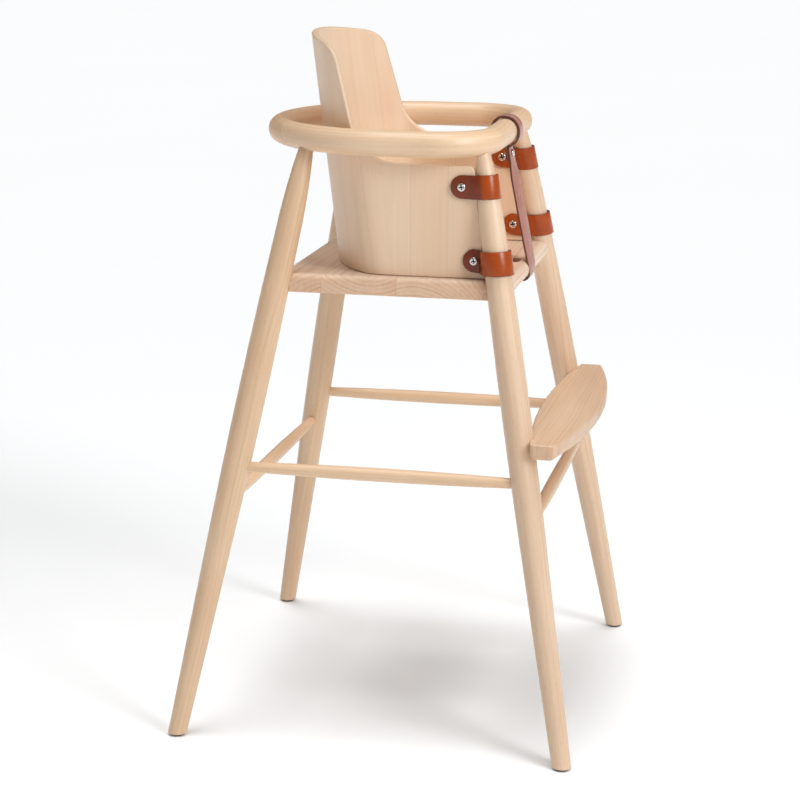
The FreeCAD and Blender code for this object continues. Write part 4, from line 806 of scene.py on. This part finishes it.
def leather(name, seed, grain, painted_shade_grain, cut_edge, gloss, painted_shade_until=0.0):
    """A strap's own leather; gloss is its specular level."""
    material, tree, surface = new_material(name)
    skin = put(tree, "ShaderNodeGroup", node_tree=hide)
    feeds = {"Seed": seed, "Grain": grain, "Painted Shade Grain": painted_shade_grain, "Painted Shade Until": painted_shade_until,
             "Cut Edge": cut_edge}
    for key, value in feeds.items():
        skin.inputs[key].default_value = value
    tree.links.new(attribute(tree, "place", "Vector"), skin.inputs["Place"])
    tree.links.new(attribute(tree, "rim"), skin.inputs["Rim"])
    tree.links.new(skin.outputs["Colour"], surface.inputs["Base Color"])
    tree.links.new(skin.outputs["Roughness"], surface.inputs["Roughness"])
    raise_grain(tree, surface, skin.outputs["Height"], pore_and_crease_depth)
    surface.inputs["Specular IOR Level"].default_value = gloss
    return material


tan_grain = (0.43, 0.074, 0.008, 1)
# Painted shade: the darker colour of the outer tails.
tan_painted_shade = (0.22, 0.036, 0.009, 1)
tan_edge = (0.10, 0.020, 0.007, 1)
tan_gloss = 0.38
leather_thickness = 0.0026
leather_gap = 0.00035
crease_ahead = 0.0075
crease_room = 0.003
tail_steps = 12
bend_steps = 5
loop_steps = 40
loop_lift = 0.4
edge_round = 0.0008


def loop_radius(node, foot, head):
    """The radius inside a strap's loop, level with the floor."""
    nearest = 1.0
    for vertex in nodes[node].data.vertices:
        axis = foot + (head - foot) * ((vertex.co.z - foot.z) / (head.z - foot.z))
        nearest = min(nearest, (vertex.co - axis).xy.length)
    return nearest


def touching(place, centre, radius, turn):
    """The direction from a circle's centre to where a line from place touches it."""
    away = place - centre
    angle = math.atan2(away.y, away.x) + turn * math.acos(radius / away.length)
    return Vector((math.cos(angle), math.sin(angle)))


def creased(before, corner, after):
    """A corner of a flat line, rounded within the crease's room."""
    start = corner + (before - corner).normalized() * crease_room
    end = corner + (after - corner).normalized() * crease_room
    shares = [number / (bend_steps - 1) for number in range(bend_steps)]
    return [start * (1 - share) ** 2 + corner * 2 * share * (1 - share) + end * share ** 2
            for share in shares]


def strap_outline(node, screw, mirror, level_z, foot, head, radius):
    """The middle line of a strap at one height, from the outer tail to the inner one."""
    axis = foot + (head - foot) * ((level_z - foot.z) / (head.z - foot.z))
    centre = Vector((axis.x * mirror, axis.y))
    half = leather_thickness / 2
    outer = shell_half + leather_gap + half
    inner = shell_half - shell_wall - leather_gap - half
    tail_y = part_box(node)[1].y
    crease_y = screw.y - crease_ahead
    outer_tail, outer_bend = Vector((outer, tail_y)), Vector((outer, crease_y))
    inner_tail, inner_bend = Vector((inner, tail_y)), Vector((inner, crease_y))
    way_out = touching(outer_bend, centre, radius + half, -1)
    way_in = touching(inner_bend, centre, radius + half, 1)
    first = math.atan2(way_out.y, way_out.x)
    last = math.atan2(way_in.y, way_in.x)
    if last > first:
        last -= 2 * math.pi
    turns = [first + (last - first) * number / loop_steps for number in range(loop_steps + 1)]
    loop = [centre + Vector((math.cos(turn), math.sin(turn))) * (radius + half) for turn in turns]
    slope = Vector(((head.x - foot.x) * mirror, head.y - foot.y)) / (head.z - foot.z)
    tail_round = (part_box(node)[1].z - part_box(node)[0].z) / 2
    ease = [tail_round * (1 - math.cos(math.pi / 2 * number / tail_steps))
            for number in range(tail_steps)]
    out_way = [outer_tail - Vector((0, step)) for step in ease]
    in_way = [inner_tail - Vector((0, step)) for step in reversed(ease)]
    outline = out_way + creased(outer_tail, outer_bend, loop[0])
    outline += loop
    outline += creased(loop[-1], inner_bend, inner_tail) + in_way
    # The loop tips a little towards square to the leaning leg, and levels out along each tail.
    placed = []
    for point in outline:
        off = point - centre
        lift = -loop_lift * off.dot(slope) * min(1.0, (radius + half) / off.length)
        share = max(0.0, min(1.0, (screw.y - point.y) / (screw.y - loop[0].y)))
        share = share * share * (3 - 2 * share)
        placed.append(Vector((point.x * mirror, point.y, level_z + lift * share)))
    return placed


def strap_line(side, level):
    """The strap's middle line and, at each point, the direction up across its width."""
    node = "strap_%s_%s" % (side, level)
    low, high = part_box(node)
    foot, head = leg_axis("leg_front_" + side)
    mirror = 1 if side == "left" else -1
    screw = middle("screw_%s_%s" % (side, level))
    radius = loop_radius(node, foot, head)
    below, above = [strap_outline(node, screw, mirror, z, foot, head, radius)
                    for z in (low.z, high.z)]
    return [((a + b) / 2, (b - a) / (high.z - low.z)) for a, b in zip(below, above)]


for seed, (side, level) in enumerate((s, v) for s in ("right", "left") for v in ("upper", "lower")):
    node = "strap_%s_%s" % (side, level)
    low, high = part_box(node)
    line = strap_line(side, level)
    # The outer tail's length: the painted shade reaches this far along the strap.
    outer_tail = line[:tail_steps + bend_steps + 1]
    tail_run = sum((two - one).length for (one, _), (two, _) in zip(outer_tail, outer_tail[1:]))
    tan = leather("tan_leather_%s_%s" % (side, level), 1.3 * seed, tan_grain, tan_painted_shade, tan_edge,
                  tan_gloss, tail_run)
    strap = sweep("leather_%s_%s" % (side, level), [line], tan,
                  Width=high.z - low.z, Thickness=leather_thickness, Edge_Round=edge_round,
                  Tail_Round=(high.z - low.z) / 2)
    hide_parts(node)
    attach(strap, "root")


# ---- screws, sleeve nuts and studs -------------------------------------------------
# Nickel-plated steel: cross-slot screws outside the shell, sleeve nuts inside it, the
# strap's two-part stud and the screw in the strap's tail.

nickel_bright = (0.80, 0.79, 0.77, 1)
nickel_dull = (0.56, 0.54, 0.51, 1)
cross_painted_shade = (0.035, 0.03, 0.028, 1)
cross_half_length = 0.0029
cross_half_width = 0.0006
cross_soft = 0.0002
cross_turn = math.radians(12)
scratch_depth = 0.000008


def bright_metal(name, face, outward, crossed):
    """Bright nickel; a driver's cross in the middle of a face is dark: painted shade inside its recess.
    """
    material, tree, surface = new_material(name)
    place = own_place(tree, face, outward.to_track_quat("Z", "Y").to_euler())
    smear = blots(tree, vectors(tree, "MULTIPLY", place, (420, 420, 420)), 3.0)
    scratch = blots(tree, vectors(tree, "MULTIPLY", place, (900, 3800, 2600)), 2.0)
    colour = blend(tree, between(tree, smear, 0.35, 0.75), nickel_bright, nickel_dull)
    if crossed:
        turned = put(tree, "ShaderNodeVectorRotate", {"Vector": place, "Angle": cross_turn},
                     rotation_type="Z_AXIS")
        x, y = axes(tree, turned.outputs[0])[:2]
        arms = []
        for along, across in ((x, y), (y, x)):
            inside = between(tree, maths(tree, "ABSOLUTE", across), cross_half_width + cross_soft,
                             cross_half_width)
            reach = between(tree, maths(tree, "ABSOLUTE", along), cross_half_length + cross_soft,
                            cross_half_length)
            arms.append(times(tree, inside, reach))
        # Painted shade: the cross is darkened where its recess lies in shade.
        colour = blend(tree, maths(tree, "MAXIMUM", *arms), colour, cross_painted_shade)
    tree.links.new(colour, surface.inputs["Base Color"])
    tree.links.new(maths(tree, "MULTIPLY_ADD", smear, 0.18, 0.06), surface.inputs["Roughness"])
    surface.inputs["Metallic"].default_value = 1.0
    raise_grain(tree, surface, scratch, scratch_depth)
    return material


for node in sorted(nodes):
    if node.startswith(("screw_", "nut_", "strap_stud_", "tail_screw")):
        face = middle(node)
        outward = Vector((0, 0, 1)) if node == "tail_screw" else Vector((1, 0, 0))
        crossed = node.startswith(("screw_", "nut_", "tail_screw"))
        nodes[node].material_slots[0].material = bright_metal(node + "_nickel", face, outward, crossed)


# ---- strap from the rail to the seat -----------------------------------------------
# One band of mauve-brown leather. It goes round the rail, is studded to itself below it,
# twists a little on its way down, turns under the seat's nose and comes up through the slot.

band_grain = (0.49, 0.225, 0.175, 1)
band_edge = (0.085, 0.030, 0.022, 1)
band_gloss = 0.35
band_width = 0.024
band_twist = ((0.524, 0), (0.540, 10), (0.562, 12), (0.600, 13.5), (0.645, 13), (0.664, 3), (0.694, 0))
band_yaw = 0.16
band_step = 0.0022
slot_rear = seat_low.y + 0.028
under_slot = 0.0015
nose_bend = 0.009
nose_cut = 0.0008
slack_bend = 0.030
below_seat_top = 0.004
below_rail = 0.004
rail_clearance = 0.0008
tail_on_seat = 0.034
tail_behind_band = 0.018
nearly_straight = math.radians(89.5)
same_place = 1e-5
askew_from = rail_z - rail_radius - 0.008
askew_over = 0.012


def band_corners():
    """The band's corners in side view (y, z), from its end on the seat to its end under the
    rail, and the bend at each."""
    half = leather_thickness / 2
    off = half + leather_gap
    top, bottom = seat_high.z, seat_low.z
    in_slot = slot_rear - off - leather_gap
    low = Vector((seat_low.y - half + nose_cut, top - below_seat_top))
    high = Vector((rail_front - below_rail, rail_z - rail_radius - below_rail))
    up = (high - low).normalized()
    back = Vector((up.y, -up.x)) * (leather_thickness + leather_gap)
    around = rail_radius + off + rail_clearance
    small = leather_thickness * 1.7
    return [
        (Vector((slot_rear + tail_on_seat, top + off)), small),
        (Vector((in_slot, top + off)), small),
        (Vector((in_slot, bottom - off - under_slot)), small),
        (Vector((low.x - 0.0005, bottom - off)), nose_bend),
        (low, slack_bend),
        (high, small),
        (Vector((rail_front - around, rail_z - around * 0.6)), around),
        (Vector((rail_front - around, rail_z + around)), around * 0.97),
        (Vector((rail_front + around, rail_z + around)), around * 0.97),
        (Vector((rail_front + around, rail_z - around * 0.6)), around),
        (high + back, small),
        (high + back - up * tail_behind_band, small)]


def rounded(corners):
    """A line through corners with an arc at each, in points a step apart."""
    line = [corners[0][0]]
    for (before, _), (corner, radius), (after, _) in zip(corners, corners[1:], corners[2:]):
        one, two = (before - corner).normalized(), (after - corner).normalized()
        half_turn = one.angle(two) / 2
        if half_turn > nearly_straight:
            line.append(corner)
            continue
        room = radius / math.tan(half_turn)
        centre = corner + (one + two).normalized() * (radius / math.sin(half_turn))
        start, end = corner + one * room - centre, corner + two * room - centre
        sweep_turn = math.atan2(start.x * end.y - start.y * end.x, start.dot(end))
        count = max(4, math.ceil(abs(sweep_turn) * radius / band_step))
        for number in range(count + 1):
            angle = sweep_turn * number / count
            cos, sin = math.cos(angle), math.sin(angle)
            line.append(centre + Vector((start.x * cos - start.y * sin, start.x * sin + start.y * cos)))
    line.append(corners[-1][0])
    spaced = [line[0]]
    for one, two in zip(line, line[1:]):
        pieces = max(1, math.ceil((two - one).length / band_step))
        spaced += [one + (two - one) * (number + 1) / pieces for number in range(pieces)
                   if (two - one).length > same_place]
    return spaced


def band_line():
    """The band's middle line in space, with its side direction at each point."""
    heights = [height for height, degrees in band_twist]
    degrees = [degrees for height, degrees in band_twist]
    flat = rounded(band_corners())
    line = []
    for number, (y, z) in enumerate(flat):
        before, after = flat[max(number - 1, 0)], flat[min(number + 1, len(flat) - 1)]
        way = (after - before).normalized()
        x = 0.0
        side = Vector((1, 0, 0))
        if z > seat_high.z + 0.010 or (y < seat_low.y + 0.006 and z > heights[0]):
            turn = math.radians(float(np.interp(z, heights, degrees)))
            side = Vector((math.cos(turn), -math.sin(turn), 0))
        if z > askew_from:
            # Round the rail the band lies askew: it shifts sideways and its sides follow.
            lift = min(1.0, (z - askew_from) / askew_over)
            x = band_yaw * (y - rail_front) * lift
            askew = Vector((band_yaw * way.x, way.x, way.y)).normalized()
            side = (Vector((1, 0, 0)) - askew * askew.x).normalized() * lift + side * (1 - lift)
            side.normalize()
        line.append((Vector((x, y, z)), side))
    return line


mauve = leather("mauve_leather", 7.7, band_grain, band_grain, band_edge, band_gloss)
band = sweep("leather_band", [band_line()], mauve, Width=band_width, Thickness=leather_thickness,
             Edge_Round=edge_round, Tail_Round=0.004)
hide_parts("crotch_strap")
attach(band, "root")


# ---- glides ------------------------------------------------------------------------
# A hard dark plastic pad under each foot, moulded in one with a pin that is pushed up
# into the wood.


def glide_material():
    moulded = (0.030, 0.020, 0.014, 1)
    scuffed = (0.085, 0.06, 0.045, 1)
    speckle_depth = 0.00004
    material, tree, surface = new_material("glide_plastic")
    place = object_place(tree)
    speckle = blots(tree, vectors(tree, "MULTIPLY", place, (1800, 1800, 1800)), 2.0)
    scuff = blots(tree, vectors(tree, "MULTIPLY", place, (240, 240, 90)), 3.0)
    colour = blend(tree, between(tree, scuff, 0.4, 0.8), moulded, scuffed)
    tree.links.new(colour, surface.inputs["Base Color"])
    tree.links.new(maths(tree, "MULTIPLY_ADD", speckle, 0.2, 0.45), surface.inputs["Roughness"])
    raise_grain(tree, surface, speckle, speckle_depth)
    return material


glide_finish = glide_material()
for node in sorted(nodes):
    if node.startswith("glide_"):
        nodes[node].material_slots[0].material = glide_finish


# ---- floor and light ---------------------------------------------------------------
# A wide, plain, pale studio floor and a weak soft sky. One broad far lamp stands to the
# chair's front right and one straight above it, with a softbox near the chair's head.

floor_half = 60.0
floor_clean = (0.925, 0.925, 0.925, 1)
floor_dusty = (0.905, 0.905, 0.905, 1)
floor_glow = (0.85, 0.93, 1, 1)
sky_tint = (1, 0.96, 0.92, 1)
sun_tint = (0.99, 1.0, 1.01)
softbox_tint = (0.96, 1.0, 1.03)
floor_mesh = bpy.data.meshes.new("floor")
floor_mesh.from_pydata([(-floor_half, -floor_half, 0), (floor_half, -floor_half, 0),
                        (floor_half, floor_half, 0), (-floor_half, floor_half, 0)],
                       [], [(0, 1, 2, 3)])
floor = bpy.data.objects.new("floor", floor_mesh)
bpy.context.scene.collection.objects.link(floor)
floor_paint, tree, surface = new_material("floor_paint")
dust = blots(tree, object_place(tree), 2.0)
tree.links.new(blend(tree, dust, floor_dusty, floor_clean), surface.inputs["Base Color"])
surface.inputs["Roughness"].default_value = 0.9
surface.inputs["Specular IOR Level"].default_value = 0.0
surface.inputs["Emission Color"].default_value = floor_glow
surface.inputs["Emission Strength"].default_value = 0.12
floor_mesh.materials.append(floor_paint)

world = bpy.data.worlds.new("studio")
world.use_nodes = True
sky = put(world.node_tree, "ShaderNodeBackground", {"Color": sky_tint, "Strength": 0.23})
white = put(world.node_tree, "ShaderNodeBackground", {"Color": (1, 1, 1, 1), "Strength": 1.0})
rays = put(world.node_tree, "ShaderNodeLightPath")
both = put(world.node_tree, "ShaderNodeMixShader",
           {0: rays.outputs["Is Camera Ray"], 1: sky.outputs[0], 2: white.outputs[0]})
world.node_tree.links.new(both.outputs[0], world.node_tree.nodes["World Output"].inputs[0])
bpy.context.scene.world = world

up = Vector((0, 0, 1))
to_right = sight.cross(up).normalized()
to_eye = Vector((-sight.x, -sight.y, 0)).normalized()
for name, towards, energy, spread in (
        ("key", to_right * 0.70 + to_eye * 0.70 + up * 0.50, 1.02, 20),
        ("top", to_right * -0.05 + to_eye * 0.01 + up, 1.80, 27)):
    lamp = bpy.data.objects.new(name, bpy.data.lights.new(name, "SUN"))
    lamp.data.energy = energy
    lamp.data.color = sun_tint
    lamp.data.angle = math.radians(spread)
    lamp.rotation_mode = "QUATERNION"
    lamp.rotation_quaternion = towards.to_track_quat("Z", "Y")
    bpy.context.scene.collection.objects.link(lamp)

# The softbox is near the head of the chair, so its light falls off down the legs.
softbox = bpy.data.objects.new("softbox", bpy.data.lights.new("softbox", "AREA"))
softbox.data.shape = "DISK"
softbox.data.size = 0.6
softbox.data.energy = 5.0
softbox.data.color = softbox_tint
stand = to_right * 0.80 + to_eye * 0.80
softbox.location = stand + up * 1.35
softbox.rotation_mode = "QUATERNION"
softbox.rotation_quaternion = (stand + up * 0.75).to_track_quat("Z", "Y")
softbox.visible_camera = False
bpy.context.scene.collection.objects.link(softbox)
